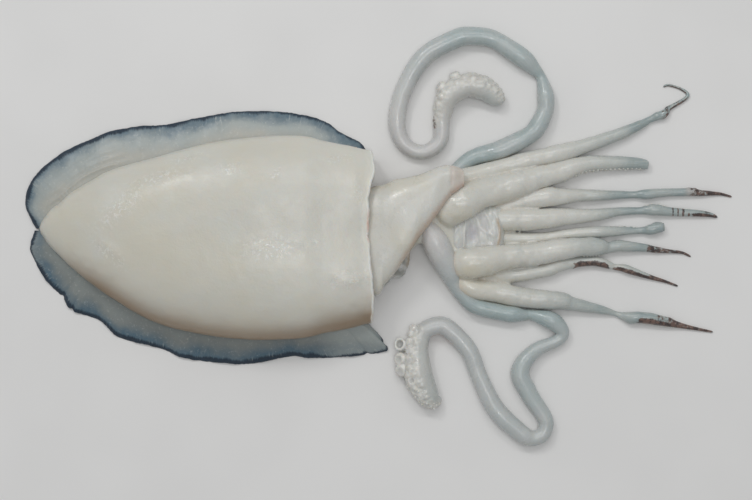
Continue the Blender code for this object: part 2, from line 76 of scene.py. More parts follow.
MANTLE_SINK = 1.0               # how far the section goes below the surface, before that is pressed flat
MANTLE_SET_IN = 0.5             # room for its swellings inside its full height
VALLEY_DEPTH = 3.0              # a shallow valley along its middle
VALLEY_HALF_WIDTH = 13.0
VALLEY_X = (-110.0, -30.0)      # the valley begins and is at its deepest here
WALL = 4.6                      # thickness of its wall in the hollow
LIP = 2.4                       # and at the rim
LIP_BULGE = 1.4                 # how far the rounded lip stands forward
LIP_RINGS = 10
PALE_LIP_RINGS = 6              # how many of them are cream
POCKET_DEPTH = 15.0             # of the hollow behind the rim
POCKET_RINGS = 12
WALL_GROWS_OVER = 7.0           # the depth by which the wall has its full thickness
RIM_WAVE_X = -30.0              # forward of here the rim's shape takes over
RIM_BULGE = 3.2                 # how far its corner on the +Y side stands forward
RIM_BULGE_Y = 38.0
RIM_BULGE_WIDTH = 9.0
RIM_SHELF = 2.2                 # how far its -Y side stands forward, and over what width it does so
RIM_SHELF_WIDTH = 20.0
RIM_WAVINESS = 0.5
SMOOTH_RIM_X = (-9.0, -6.0)     # between these the swellings fade, to this share
SMOOTH_RIM_SHARE = 0.3
LIP_PINK_Y = (-6.0, 0.0, 10.0, 16.0)    # the lip begins to be pink, is, still is, and ends here

# Soft swellings and dips of the mantle: x, y, half length, half width, turn in degrees, height
MANTLE_SWELLINGS = (
    (-128.0, 21.0, 26.0, 6.0, 33.0, 0.25), (-143.0, -7.0, 9.0, 3.0, -38.0, 0.5),
    (-108.0, 12.0, 22.0, 7.0, 20.0, -0.45), (-58.0, -4.0, 18.0, 5.0, 0.0, 0.6),
    (-46.0, -6.5, 9.0, 2.0, -22.0, 0.35), (-70.0, -6.5, 9.0, 2.0, 24.0, 0.35),
    (-32.0, 13.0, 20.0, 8.0, -4.0, -0.9), (-13.0, 27.0, 4.5, 9.0, 8.0, 0.6),
    (-15.0, -24.0, 8.0, 3.5, 10.0, 0.55), (-24.0, -25.0, 3.0, 3.0, 0.0, -0.3),
    (-30.0, 42.0, 12.0, 3.0, 12.0, 0.35), (-55.0, 32.0, 3.2, 0.7, 48.0, 0.3),
    (-76.0, 36.5, 0.6, 2.6, 0.0, 0.14), (-79.0, 36.3, 0.6, 2.4, 0.0, 0.12),
    (-83.0, 36.4, 0.6, 2.4, 0.0, 0.12), (-95.0, -30.0, 28.0, 9.0, -8.0, 0.4),
    (-40.0, -34.0, 22.0, 7.0, 3.0, 0.35),
)

# Wetter places of the mantle, which also take flecks of painted highlight: x, y, half length, half width,
# turn in degrees
MANTLE_WET_GLINTS = (
    (-118.0, 31.0, 15.0, 3.6, 16.0), (-138.0, 16.0, 16.0, 5.0, 42.0), (-145.0, -9.0, 10.0, 3.5, -38.0),
    (-56.0, -6.0, 16.0, 6.0, 0.0), (-33.0, -3.0, 4.0, 2.5, 0.0), (-10.5, 24.0, 4.0, 9.0, 8.0),
    (-15.0, -23.0, 11.0, 5.5, 8.0), (-55.0, 33.0, 4.0, 2.0, 48.0), (-79.0, 36.4, 6.0, 4.0, 0.0),
    (-20.0, 42.0, 9.0, 3.0, 10.0), (-103.0, 42.0, 9.0, 2.0, 14.0),
)

# Outer edges of the fins, from the notch at the tail to the rim: x, y
FIN_PLUS_Y = (
    (-188.6, 4.3), (-193.4, 14.1), (-194.2, 21.5), (-191.5, 29.6), (-183.3, 39.5), (-170.7, 48.0),
    (-158.7, 53.6), (-146.0, 58.5), (-129.8, 61.2), (-117.8, 61.7), (-98.1, 65.6), (-75.8, 69.0),
    (-53.2, 68.7), (-31.6, 64.6), (-21.5, 58.0), (-9.9, 51.8), (-6.0, 46.5),
)
FIN_MINUS_Y = (
    (-189.3, 3.4), (-191.3, -4.2), (-190.7, -10.5), (-182.9, -24.2), (-174.5, -33.1), (-168.8, -40.8),
    (-153.3, -46.4), (-142.1, -55.9), (-120.2, -61.6), (-108.3, -66.6), (-88.3, -69.6), (-69.9, -70.3),
    (-48.8, -66.1), (-37.5, -67.1), (-15.7, -66.1), (2.0, -63.9), (5.5, -61.4), (2.0, -55.5), (-4.4, -48.5),
)
FIN_ROOT_AT_TAIL = 0.62         # how far the root goes in towards the middle line, as a share
FIN_ROOT_AT_RIM = 0.42
FIN_ROOT_AIM_X = (-150.0, -60.0)    # the stretch of the middle line that the root goes towards
FIN_CROWDING = 1.6              # how much closer a fin's points are set near its edge
FIN_EDGE = 0.35                 # thickness at the very edge
FIN_THICKNESS = 1.3             # and further in, within this length
FIN_THICKENS_OVER = 1.5
FIN_RISE = 8.5                  # how far it rises towards the mantle, and over what length
FIN_RISE_LENGTH = 18.0
FIN_RIPPLE = 1.1                # lift of its edge, the ripples' length and how far in they reach
FIN_RIPPLE_LENGTH = 23.0
FIN_RIPPLE_REACH = 6.0
FIN_FOLDS = ((2.4, 0.9, 0.75), (6.5, 1.6, 0.4), (10.5, 1.8, 0.3))    # off the crease, half width, height
FIN_FOLDS_X = (-186.0, -176.0, -150.0, -132.0)      # they begin, are full, are still full, and end here
# Where the fins' dark edge is broad, by side, and where the -Y fin takes painted shade, and where the +Y fin
# is
# frosted: it begins, is full, is still full, and ends at these x
FIN_DEEP_X = {1: (-196.0, -192.0, -165.0, -58.0), -1: (-192.0, -180.0, -40.0, -18.0)}
FIN_FROST_X = (-118.0, -95.0, -60.0, -38.0)
FIN_NICKS = ((-1, -174.3, -33.5), (-1, -169.0, -40.8), (-1, -6.0, -65.2), (-1, 3.8, -58.5))
FIN_NICK_SIZE = (1.3, 1.1)      # half length, depth

# Head, funnel and flap: the two side points, then the lower and upper height
HEAD = (
    (-24.0, 17.0, -24.0, -22.0, 1.0, 19.0), (-1.9, 22.0, -1.9, -26.0, 1.0, 22.0),
    (11.7, 28.6, 11.7, -14.0, 1.0, 22.0), (22.6, 31.8, 22.6, -4.0, 1.0, 20.0),
    (33.5, 35.1, 31.4, -10.7, 1.0, 16.0), (42.3, 34.6, 39.0, -25.4, 1.0, 12.5),
    (51.1, 32.0, 49.0, -29.3, 1.0, 10.0), (62.2, 26.6, 61.1, -25.5, 1.0, 5.0),
)
FUNNEL = (
    (-24.0, 22.0, -24.0, -26.0, 5.0, 22.0), (-1.9, 27.1, -1.9, -32.4, 4.0, 25.8),
    (3.5, 28.2, 3.5, -26.2, 4.5, 26.8), (9.5, 30.9, 9.5, -19.4, 5.5, 27.5),
    (16.0, 32.0, 13.8, -13.4, 7.0, 28.0), (22.5, 33.7, 17.6, -7.7, 9.0, 28.0),
    (28.4, 36.2, 22.2, -0.2, 10.5, 27.5), (33.3, 38.0, 28.3, 7.3, 12.0, 27.0),
    (36.6, 38.5, 33.8, 14.5, 13.0, 26.0), (38.9, 38.5, 38.9, 21.7, 14.0, 25.0),
    (42.0, 37.7, 42.8, 24.6, 14.5, 23.6), (45.3, 36.4, 45.7, 27.2, 15.5, 21.8),
)
FUNNEL_LIP_RINGS = 8
FUNNEL_LIP_DRAWN_IN = 0.32      # how far the lip is drawn in to its middle, as a share
FUNNEL_LIP_BULGE = (0.7, -0.1)  # how far it stands forward, x, y
FUNNEL_MOUTH_RINGS = 8
FUNNEL_MOUTH = (-5.6, 1.4)      # from the lip to the bottom of the mouth, x, y
FUNNEL_MOUTH_NARROWS = 0.35
FUNNEL_LUMPS = ((40.5, 33.0, 24.5, 3.0, 0.7), (8.0, 14.0, 27.0, 9.0, 0.6), (13.0, -4.0, 26.0, 5.0, 0.4))
# The crease behind its lip: its furthest x, at this y, how wide its bow is, its half width and depth
FUNNEL_CREASE = (39.6, 33.0, 7.0, 0.9, 0.35)
FLAP = (
    (-4.0, -20.0, -5.0, -33.0, 3.0, 9.0), (4.0, -17.0, 3.6, -26.6, 2.0, 8.5),
    (9.0, -13.0, 8.4, -22.2, 1.0, 8.0), (12.0, -9.0, 11.6, -23.2, 1.0, 7.0),
    (15.0, -5.0, 15.4, -18.6, 1.0, 7.0), (17.0, -2.0, 17.2, -13.4, 1.0, 7.0),
)
LOFT_FULLNESS = 2.2
FUNNEL_FULLNESS = 2.6
FUNNEL_MESH = (0.6, 150)        # step along it, points round it
FLAP_MESH = (0.4, 90)
HEAD_MESH = (0.9, 120)
HEAD_TIP = 4.0                  # the length over which its front end is rounded
HEAD_START_X = -12.0            # what lies further back is inside the mantle

# The folded membrane round the mouth: its reach in x and in y, points each way, and its top at points of x
MEMBRANE_X = (38.0, 69.0)
MEMBRANE_Y = (-9.5, 18.0)
MEMBRANE_POINTS = (130, 110)
MEMBRANE_TOP = (
    (38.0, 12.6), (43.0, 13.4), (47.0, 13.8), (54.0, 13.0), (62.0, 12.4), (66.4, 11.6), (67.6, 10.0),
    (69.0, 6.0),
)
MEMBRANE_SIDE_DROP = 5.0        # how much lower its sides are, and its end at the funnel
MEMBRANE_END_DROP = 2.5
MEMBRANE_UNDERSIDE = 3.0
# Crests of its folds: half width, height, then points x, y
MEMBRANE_CRESTS = (
    (0.9, 1.0, ((47.3, 9.0), (47.0, 3.6), (46.6, -0.8), (46.2, -5.5))),
    (0.8, 0.5, ((39.0, -2.4), (41.3, 1.6), (43.9, 6.0))),
    (0.8, 0.45, ((40.6, -4.4), (43.0, -1.2), (45.4, 1.9))),
    (1.3, 0.8, ((52.6, 14.5), (53.4, 10.6), (54.6, 7.0), (56.6, 4.0), (59.6, 1.8), (62.6, 0.8))),
    (1.3, 0.6, ((56.3, 15.5), (59.3, 10.6), (61.4, 6.3), (62.8, 1.9), (63.4, -2.6))),
    (0.9, 0.5, ((60.4, 16.5), (64.0, 11.3), (65.4, 8.0))),
    (1.3, 0.5, ((50.0, -6.6), (53.6, -5.4), (58.0, -4.6), (62.6, -5.0))),
)
MEMBRANE_RIM = ((64.6, 9.0), (65.8, 4.6), (66.0, 0.0), (65.2, -4.2))
MEMBRANE_RIM_SIZE = (0.8, 0.5)      # half width, height
MEMBRANE_HOLLOW = (51.0, 1.6, 3.0, 5.6, 1.1)    # the lilac hollow: x, y, half width, half length, depth

# The crown, where the arms join: it is one skin as far as these x, past which each arm is by itself
CROWN_END_X = (68.0, 88.0)
CROWN_SWELL = (1.018, 0.03)     # an arm's width inside the crown, and how much less it is where it leaves
FREE_ARM_WIDTH = (0.93, 0.07)   # the free arm's width at its start, and how much it gains by the next x
FREE_ARM_FULL_X = 75.0
CROWN_VOXEL = 0.6               # how finely the joined skin is made
CROWN_SOFTENING = 12            # how often it is smoothed
# The length over which each arm's root is rounded
ARM_ROOT_ROUNDING = {"arm_1": 4.0, "arm_2": 5.0, "arm_3": 7.0, "arm_4": 9.0, "arm_5": 12.0, "arm_6": 3.0,
                     "arm_7": 6.0, "arm_8": 2.0}

# Arms, from the crown to the tip: x, y, height of the middle, radius
ARMS = {
    "arm_1": (
        (40.0, 29.6, 10.0, 5.5), (52.7, 33.8, 8.0, 4.7), (67.0, 37.7, 6.5, 4.4), (84.0, 42.2, 5.6, 4.8),
        (100.6, 46.0, 3.9, 4.7), (113.2, 49.6, 3.3, 3.9), (132.5, 56.3, 2.7, 3.2), (143.6, 61.3, 2.0, 2.4),
        (148.0, 63.8, 1.5, 1.8), (156.8, 67.5, 1.8, 2.1), (159.6, 70.4, 1.1, 1.3), (165.7, 73.9, 0.9, 1.0),
        (169.3, 76.4, 0.8, 1.0), (169.8, 78.6, 0.8, 0.9), (165.7, 81.4, 0.6, 0.7), (159.2, 83.2, 0.6, 0.6),
        (156.4, 82.2, 0.5, 0.5)),
    "arm_2": (
        (31.0, 10.4, 11.0, 7.0), (36.4, 13.9, 12.0, 9.2), (46.0, 18.7, 12.3, 9.9), (55.3, 23.2, 10.5, 8.2),
        (66.3, 25.5, 8.5, 7.7), (77.3, 29.0, 7.0, 7.2), (88.4, 32.5, 5.6, 6.3), (99.4, 35.4, 4.6, 5.8),
        (110.4, 39.1, 4.0, 4.7), (121.5, 40.4, 3.4, 4.0), (141.3, 40.2, 2.6, 3.1), (147.9, 39.0, 2.2, 2.6)),
    "arm_3": (
        (61.0, 15.0, 6.0, 3.9), (74.7, 18.3, 5.0, 4.4), (91.2, 21.6, 4.7, 5.6), (99.5, 21.9, 4.0, 4.7),
        (110.5, 22.6, 2.9, 3.5), (121.5, 22.6, 2.6, 3.0), (139.2, 22.9, 1.6, 1.9), (146.8, 23.2, 2.2, 2.6),
        (155.7, 24.0, 2.0, 2.3), (171.1, 24.4, 1.8, 2.1), (176.0, 23.9, 1.5, 1.75),
        (182.0, 23.7, 1.1, 1.25), (188.3, 23.3, 0.7, 0.8), (194.3, 21.8, 0.5, 0.5)),
    "arm_4": (
        (54.4, 9.5, 6.0, 5.5), (66.5, 9.2, 5.5, 6.4), (88.4, 9.6, 4.9, 5.7), (99.5, 10.8, 4.1, 4.8),
        (110.5, 11.3, 3.4, 4.0), (121.5, 12.1, 2.7, 3.2), (132.6, 13.7, 1.9, 2.3), (144.7, 14.2, 1.7, 2.0),
        (151.8, 14.5, 2.3, 2.8), (161.2, 13.5, 1.9, 2.3), (176.6, 12.6, 1.4, 1.7), (182.2, 11.9, 1.1, 1.3),
        (186.4, 10.6, 0.6, 0.6)),
    "arm_5": (
        (54.5, -0.9, 5.0, 4.1), (72.1, -1.2, 2.9, 3.5), (86.0, -1.1, 2.7, 3.2), (94.1, -0.2, 2.4, 2.8),
        (105.1, 1.6, 2.2, 2.6), (121.5, 2.6, 2.6, 3.0), (142.5, 3.2, 1.5, 1.8), (149.0, 3.7, 2.4, 2.8),
        (153.4, 4.8, 2.4, 2.9), (156.6, 5.2, 2.2, 2.7)),
    "arm_6": (
        (41.0, -14.2, 6.6, 6.4), (47.1, -14.6, 9.8, 8.3), (55.3, -14.1, 10.5, 8.4), (66.3, -11.7, 9.0, 6.8),
        (77.3, -10.5, 7.6, 6.4), (88.3, -9.4, 6.4, 6.2), (99.3, -7.1, 5.6, 5.9), (108.7, -6.0, 5.0, 5.2),
        (117.0, -5.5, 4.2, 5.0), (122.0, -5.8, 3.6, 4.3), (126.5, -6.1, 2.6, 3.0), (132.5, -5.2, 2.7, 3.2),
        (146.4, -6.3, 1.7, 2.1), (151.9, -7.2, 1.4, 1.7), (158.5, -8.0, 1.0, 1.15),
        (166.8, -8.9, 0.7, 0.75), (171.8, -11.1, 0.5, 0.5)),
    "arm_7": (
        (52.8, -22.2, 5.0, 4.4), (72.1, -21.4, 3.5, 4.1), (92.4, -18.1, 3.2, 3.9), (97.9, -16.2, 2.9, 3.5),
        (106.2, -14.4, 2.4, 2.9), (116.1, -13.6, 2.2, 2.6), (121.6, -14.1, 2.3, 2.7),
        (126.0, -15.5, 1.9, 2.2), (130.5, -17.0, 1.4, 1.5), (134.8, -17.4, 1.7, 2.1),
        (139.2, -18.9, 1.7, 2.1), (150.3, -22.6, 1.0, 1.2), (157.5, -24.7, 0.7, 0.8),
        (164.7, -27.3, 0.5, 0.5)),
    "arm_8": (
        (39.5, -21.5, 5.0, 4.6), (45.6, -25.6, 6.6, 5.5), (52.8, -28.5, 6.5, 5.5), (62.2, -29.9, 4.9, 5.8),
        (77.5, -33.1, 4.7, 5.5), (99.5, -35.3, 4.1, 4.8), (106.1, -36.9, 3.1, 3.7),
        (123.3, -40.5, 1.9, 2.3), (131.0, -42.6, 1.2, 1.4), (138.0, -44.4, 2.6, 3.0),
        (144.6, -44.5, 2.6, 3.1), (155.6, -46.3, 2.3, 2.8), (167.3, -49.2, 1.2, 1.4),
        (183.9, -52.5, 0.5, 0.5)),
}

# Where each arm turns thin and bluish, and its patches of left-on skin: from x, to x, side of the arm
# (1 is +Y, -1 is -Y, 0 is all round), strength
ARM_THIN_X = {
    "arm_1": (92.0, 145.0), "arm_2": (98.0, 150.0), "arm_3": (96.0, 138.0), "arm_4": (100.0, 145.0),
    "arm_5": (104.0, 142.0), "arm_6": (96.0, 130.0), "arm_7": (50.0, 200.0), "arm_8": (60.0, 140.0),
}
ARM_SKIN = {
    "arm_1": ((154.0, 172.0, -1, 0.7), (153.0, 170.0, 1, 0.5)),
    "arm_3": ((168.5, 200.0, 0, 0.6), (178.0, 200.0, 0, 0.9)),
    "arm_4": ((160.8, 162.2, 0, 0.72), (163.6, 165.0, 0, 0.7), (166.2, 168.2, 0, 0.74),
              (169.4, 170.8, -1, 0.9), (171.0, 195.0, -1, 1.15), (173.0, 195.0, 0, 0.5),
              (183.0, 195.0, 0, 0.7)),
    "arm_6": ((145.0, 180.0, 0, 0.66), (160.0, 180.0, 0, 0.8)),
    "arm_7": ((106.0, 127.5, -1, 1.15), (128.0, 162.0, -1, 1.15), (146.0, 176.0, 0, 0.78)),
    "arm_8": ((140.0, 176.0, -1, 0.82), (150.0, 162.0, 0, 0.5), (156.0, 196.0, 0, 0.72)),
}
ARM_CUT_ENDS = ("arm_2", "arm_5")
BLUNT_END = 1.2                 # the length over which a cut end is rounded, and the least for others
BLUNT_SHARE = 0.74              # a cut end keeps the root of this share of its radius
PINK_ARM = "arm_3"
PINK_ARM_X = (167.0, 170.0, 175.0, 180.0)       # it begins to be pink, is, still is, and ends here
PINK_ARM_STRENGTH = 0.3

# Warm places at the arms' roots, painted as warm shade in the creases there: x, y, reach, strength
ARM_WARM = ((34.0, 8.0, 7.0, 0.5), (45.0, 10.0, 6.0, 0.3), (47.0, -21.5, 7.0, 0.9), (57.0, -21.0, 8.0, 0.6),
            (48.0, 28.0, 6.0, 0.4))
ARM_WARM_X = (60.0, 100.0)      # warm sides, most on -Y as painted warm shade, less and less between these

# Where limbs touch near their roots warm shade is painted: within this reach, and fading between these x
TOUCH_REACH = 1.8
TOUCH_START_X = 28.0
TOUCH_END_X = (72.0, 112.0)
TOUCH_STEP = 2.0

# Lumps on the arms: x, y, z, radius, height
ARM_LUMPS = {
    "arm_1": ((147.0, 62.0, 1.5, 1.6, 0.5), (152.5, 67.0, 3.0, 2.0, 0.7), (156.5, 65.8, 2.0, 1.8, 0.6),
              (158.5, 70.5, 2.0, 1.2, 0.5)),
    "arm_3": ((170.5, 26.0, 2.5, 1.3, 0.7), (173.6, 25.6, 2.5, 1.2, 0.6), (150.0, 21.5, 1.0, 1.6, 0.3)),
    "arm_4": ((150.0, 16.6, 3.0, 1.6, 0.7), (154.0, 16.2, 3.0, 1.3, 0.6), (146.0, 15.8, 2.4, 1.2, 0.4)),
    "arm_5": ((135.0, 5.0, 2.0, 1.0, 0.5), (138.5, 5.1, 2.0, 0.9, 0.5), (152.0, 7.2, 2.6, 1.6, 0.5)),
    "arm_6": ((118.5, -10.0, 2.5, 1.6, 0.5), (122.0, -9.6, 2.5, 1.2, 0.5), (114.0, -10.8, 2.5, 1.2, 0.3)),
    "arm_7": ((107.0, -17.4, 1.2, 1.1, 0.9), (131.5, -16.0, 2.4, 1.4, 0.5)),
    "arm_8": ((133.0, -44.0, 1.4, 1.5, 0.6), (137.5, -47.4, 1.6, 1.8, 0.8), (150.0, -44.2, 3.0, 3.0, 0.4),
              (160.0, -45.5, 2.4, 2.0, 0.5)),
}

# Rows of small suckers at an arm's side: from x, to x, side, lift round the arm in degrees, radius, pitch
ARM_BEADS = {
    "arm_1": ((134.0, 146.0, -1, 10.0, 0.42, 1.5),),
    "arm_2": ((100.0, 146.0, -1, 4.0, 0.72, 1.85), (106.0, 144.0, -1, 28.0, 0.55, 2.0)),
    "arm_4": ((146.0, 159.0, 1, 20.0, 0.5, 1.5), (163.0, 176.0, 1, 18.0, 0.36, 1.05)),
    "arm_5": ((130.0, 143.0, 1, 18.0, 0.45, 1.6),),
    "arm_6": ((112.0, 124.0, -1, 8.0, 0.5, 1.5),),
    "arm_8": ((140.0, 164.0, -1, 12.0, 0.4, 1.25),),
}

# Tentacles, from under the funnel to the end of the club: x, y, height of the middle, radius
TENTACLES = {
    "tentacle_plus_y": (
        (40.2, 34.2, 6.0, 3.9), (51.2, 42.7, 3.9, 4.5), (67.1, 47.7, 4.5, 5.3), (82.2, 55.3, 4.2, 4.9),
        (87.9, 61.5, 4.2, 5.0), (91.5, 69.3, 3.8, 4.5), (91.7, 76.4, 3.9, 4.6), (90.6, 82.8, 3.0, 3.6),
        (89.0, 87.8, 2.3, 2.8), (85.1, 92.2, 3.3, 3.9), (79.2, 97.5, 4.4, 5.2), (63.8, 107.7, 4.2, 4.9),
        (52.9, 109.8, 4.3, 5.0), (43.0, 108.6, 4.4, 5.2), (25.5, 98.8, 4.3, 5.1), (14.3, 81.4, 4.1, 4.8),
        (10.1, 63.3, 4.0, 4.7), (14.3, 50.5, 3.6, 4.2), (24.7, 46.3, 3.4, 4.0), (33.7, 52.6, 3.6, 4.3),
        (34.7, 66.0, 4.3, 5.0), (38.3, 77.4, 5.6, 6.6), (48.4, 82.8, 5.7, 6.7), (54.4, 82.3, 5.8, 6.9),
        (60.5, 79.6, 5.4, 6.3), (64.9, 75.6, 4.2, 5.0), (67.3, 72.4, 2.6, 2.9)),
    "tentacle_minus_y": (
        (24.7, 7.8, 13.0, 5.0), (28.5, 1.3, 13.0, 6.4), (32.2, -5.4, 12.5, 7.1), (39.0, -18.6, 9.5, 6.1),
        (42.3, -26.0, 7.5, 4.5), (52.1, -37.2, 5.0, 4.6), (67.1, -41.5, 4.0, 4.7), (74.3, -42.5, 3.9, 4.6),
        (79.5, -42.9, 3.0, 3.5), (83.7, -42.8, 2.6, 3.1), (93.7, -45.6, 4.0, 4.7), (98.4, -48.8, 3.8, 4.5),
        (101.0, -53.0, 3.1, 3.7), (97.9, -57.1, 2.9, 3.4), (85.3, -63.1, 3.4, 4.0), (77.6, -73.9, 4.3, 5.1),
        (82.3, -86.0, 4.1, 4.8), (90.7, -98.6, 3.7, 4.4), (91.8, -103.9, 3.5, 4.1),
        (89.9, -108.6, 3.6, 4.2), (84.7, -110.5, 3.7, 4.3), (78.3, -108.0, 4.3, 5.0),
        (64.2, -94.4, 4.5, 5.1), (55.7, -77.9, 4.0, 4.6), (49.0, -61.7, 4.2, 4.9), (38.0, -50.5, 4.3, 5.1),
        (31.8, -49.1, 4.2, 5.0), (24.5, -52.6, 4.4, 5.2), (21.2, -61.6, 5.2, 6.2), (21.9, -74.2, 6.4, 7.5),
        (23.6, -80.7, 6.5, 7.6), (26.5, -86.2, 5.8, 6.8), (30.4, -90.0, 3.8, 4.6), (34.6, -89.5, 2.6, 2.6)),
}
# How thin and bluish each tentacle is at shares of its length
TENTACLE_THIN = {
    "tentacle_plus_y": (
        (0.0, 0.7), (0.04, 1.0), (0.12, 1.0), (0.2, 0.95), (0.27, 0.85), (0.36, 1.0), (0.45, 0.9),
        (0.55, 0.5), (0.66, 0.1), (0.8, 0.1), (0.93, 0.12), (1.0, 0.6)),
    "tentacle_minus_y": (
        (0.0, 0.0), (0.05, 0.1), (0.1, 0.5), (0.17, 1.0), (0.28, 1.0), (0.34, 0.75), (0.42, 0.7),
        (0.52, 0.65), (0.6, 0.5), (0.7, 0.4), (0.8, 0.35), (0.93, 0.25), (1.0, 0.6)),
}
# Where each club begins: the nearest point of its tentacle's second half, x, y
CLUB_START = {"tentacle_plus_y": (34.0, 58.0), "tentacle_minus_y": (28.0, -50.0)}
CLUB_SIDE = {"tentacle_plus_y": 1, "tentacle_minus_y": -1}      # the side of its own travel with suckers

# Suckers on the clubs: the middle x, y, z, the way it faces x, y, z, its radius, and how open its cup is
SUCKERS = {
    "tentacle_minus_y": (
        (11.7, -58.9, 6.8, -0.35, 0.15, 0.92, 3.5, 1.0), (11.9, -67.0, 6.4, -0.55, -0.1, 0.8, 3.7, 0.3),
        (12.6, -73.2, 5.6, -0.5, -0.25, 0.8, 3.9, 0.15), (18.6, -73.8, 12.8, -0.35, 0.1, 0.93, 2.2, 1.0),
        (18.3, -78.7, 12.0, -0.35, 0.0, 0.93, 2.6, 0.7), (18.8, -49.8, 6.4, -0.5, 0.5, 0.7, 2.2, 0.0),
        (17.2, -53.2, 6.6, -0.7, 0.2, 0.7, 1.9, 0.0), (16.6, -57.4, 8.6, -0.6, 0.0, 0.8, 2.1, 0.0),
        (17.0, -62.2, 9.4, -0.5, 0.1, 0.85, 2.5, 0.0), (17.2, -67.4, 9.8, -0.5, -0.1, 0.85, 2.1, 0.0),
        (20.6, -69.8, 12.6, -0.3, 0.0, 0.95, 1.6, 0.0)),
    "tentacle_plus_y": (
        (34.5, 81.8, 6.0, -0.75, 0.6, 0.35, 3.6, 0.0), (41.7, 88.0, 6.2, -0.35, 0.9, 0.3, 3.1, 0.0),
        (49.0, 86.6, 7.0, 0.0, 0.9, 0.4, 3.0, 0.0), (31.4, 71.4, 5.0, -0.9, 0.2, 0.3, 1.5, 0.0)),
}
# Lumps of the clubs' own skin: their mean radius, at these shares of the club's length, and their heights
CLUB_LUMP_SIZES = {"tentacle_minus_y": (1.5, 1.9, 1.9, 1.0), "tentacle_plus_y": (1.6, 2.0, 2.0, 0.95)}
CLUB_LUMP_SHARES = (0.0, 0.3, 0.62, 1.0)
CLUB_LUMP_HEIGHTS = {"tentacle_minus_y": (0.35, 0.95), "tentacle_plus_y": (0.15, 0.55)}   # in their radii
CLUB_DRAWN_IN = 0.13            # room for the lumps inside the club's radius, as a share
CLUB_TIP = 22.0                 # the length of its end, which has the finest suckers
CLUB_SIDES = 84
TENTACLE_VOXEL = 0.45
TENTACLE_SOFTENING = 2
SUCKER_SIDES = 26
STALK_RINGS = 7
CUP_STARTS = (8.5, 11.5)        # points of the next profile between which the cup's painted shade grows dark
RING_POINTS = (5, 8)            # the first and last of its points that are on the ring
# A sucker's profile from the end of its stalk to the bottom of its cup: along its axis, radius, in cup radii
SUCKER_PROFILE = (
    (-1.0, 0.46), (-0.82, 0.7), (-0.6, 0.9), (-0.3, 1.0), (-0.05, 1.02), (0.12, 0.97), (0.23, 0.88),
    (0.28, 0.77), (0.25, 0.67), (0.15, 0.6), (0.0, 0.55), (-0.18, 0.46), (-0.3, 0.28), (-0.33, 0.1),
)
# The same of a closed one, which is a plain dome
LUMP_PROFILE = (
    (-1.0, 0.5), (-0.82, 0.7), (-0.6, 0.88), (-0.3, 0.98), (-0.05, 1.0), (0.15, 0.96), (0.32, 0.88),
    (0.47, 0.77), (0.57, 0.66), (0.62, 0.55), (0.63, 0.44), (0.62, 0.33), (0.6, 0.2), (0.58, 0.08),
)
BEAD_PROFILE = ((-0.7, 0.55), (-0.35, 0.9), (0.0, 1.0), (0.3, 0.92), (0.5, 0.7), (0.52, 0.5), (0.4, 0.34),
                (0.26, 0.16))
BEAD_SIDES = 9
BEAD_CUP = (5, 0.55, 0.3)       # the first of its points in the cup, the cup's radius, how dark its painted shade is
CLUB_BEADS = {"tentacle_minus_y": 20, "tentacle_plus_y": 8}

FLESH_IOR = 1.5
FLESH_SCATTER = (1.0, 0.78, 0.6)    # how far red, green and blue light go inside it, as shares

FLOOR_SEGMENTS = 24
SENSOR_WIDTH = 36.0
SKY_COLOUR = (0.97, 0.985, 1.0, 1.0)
KEY_COLOUR = (1.0, 0.995, 0.985)
LIGHT_TARGET = (-0.02, 0.0, 0.0)
ARMS_TARGET = (0.1, 0.0, 0.0)

RANDOM_SEED = 11
LATTICE_SIZE = 32
LATTICE = np.random.default_rng(RANDOM_SEED).uniform(-1.0, 1.0, (LATTICE_SIZE,) * 3)
SPLINE_SAMPLES = 24
POINTS_AT_A_TIME = 4000         # of those whose distance from a line is worked out, to spare memory


# Maths on points


def ramp(value, start, end):
    """From 0 at the start to 1 at the end, smoothly, and no less or more beyond them."""
    share = np.clip((np.asarray(value, float) - start) / (end - start), 0.0, 1.0)
    return share * share * (3 - 2 * share)


def band(value, begin, full, still, end):
    """From 0 where it begins to 1 where it is full, and from 1 where it still is to 0 at its end."""
    return ramp(value, begin, full) * ramp(value, end, still)


def unit(vectors):
    """The vectors, each made one long."""
    return vectors / np.maximum(np.linalg.norm(vectors, axis=-1, keepdims=True), 1e-9)


def smooth_route(stations, step):
    """Arc lengths, and points that far along the smooth curve through the stations, a step apart."""
    values = np.array(stations, float)
    values = np.vstack([2 * values[0] - values[1], values, 2 * values[-1] - values[-2]])
    t = np.linspace(0.0, 1.0, SPLINE_SAMPLES, endpoint=False)[:, None]
    runs = []
    for before, start, end, after in zip(values, values[1:], values[2:], values[3:]):
        runs.append(0.5 * (2 * start + (end - before) * t + (2 * before - 5 * start + 4 * end - after) * t**2
                           + (3 * start - before - 3 * end + after) * t**3))
    fine = np.vstack([*runs, values[-2:-1]])
    steps = np.linalg.norm(np.diff(fine[:, :2], axis=0), axis=1)
    length = np.concatenate([[0.0], np.cumsum(steps)])
    even = np.linspace(0.0, length[-1], max(2, round(length[-1] / step) + 1))
    return even, np.column_stack([np.interp(even, length, column) for column in fine.T])


def soft_noise(points, size, shift=0.0):
    """Smooth noise from -1 to 1 at points in millimetres, with features about as large as the size."""
    scaled = points / size + shift
    cell = np.floor(scaled).astype(int)
    part = scaled - cell
    part = part * part * (3 - 2 * part)
    total = np.zeros(points.shape[:-1])
    for corner in itertools.product((0, 1), repeat=3):
        weight = np.prod(np.where(corner, part, 1 - part), axis=-1)
        place = (cell + corner) % LATTICE_SIZE
        total += weight * LATTICE[place[..., 0], place[..., 1], place[..., 2]]
    return total


def superellipse(angle, fullness):
    """Points of a rounded section at the angles: an ellipse at a fullness of 2, and squarer above it."""
    c, s = np.cos(angle), np.sin(angle)
    return np.sign(c) * np.abs(c) ** (2 / fullness), np.sign(s) * np.abs(s) ** (2 / fullness)


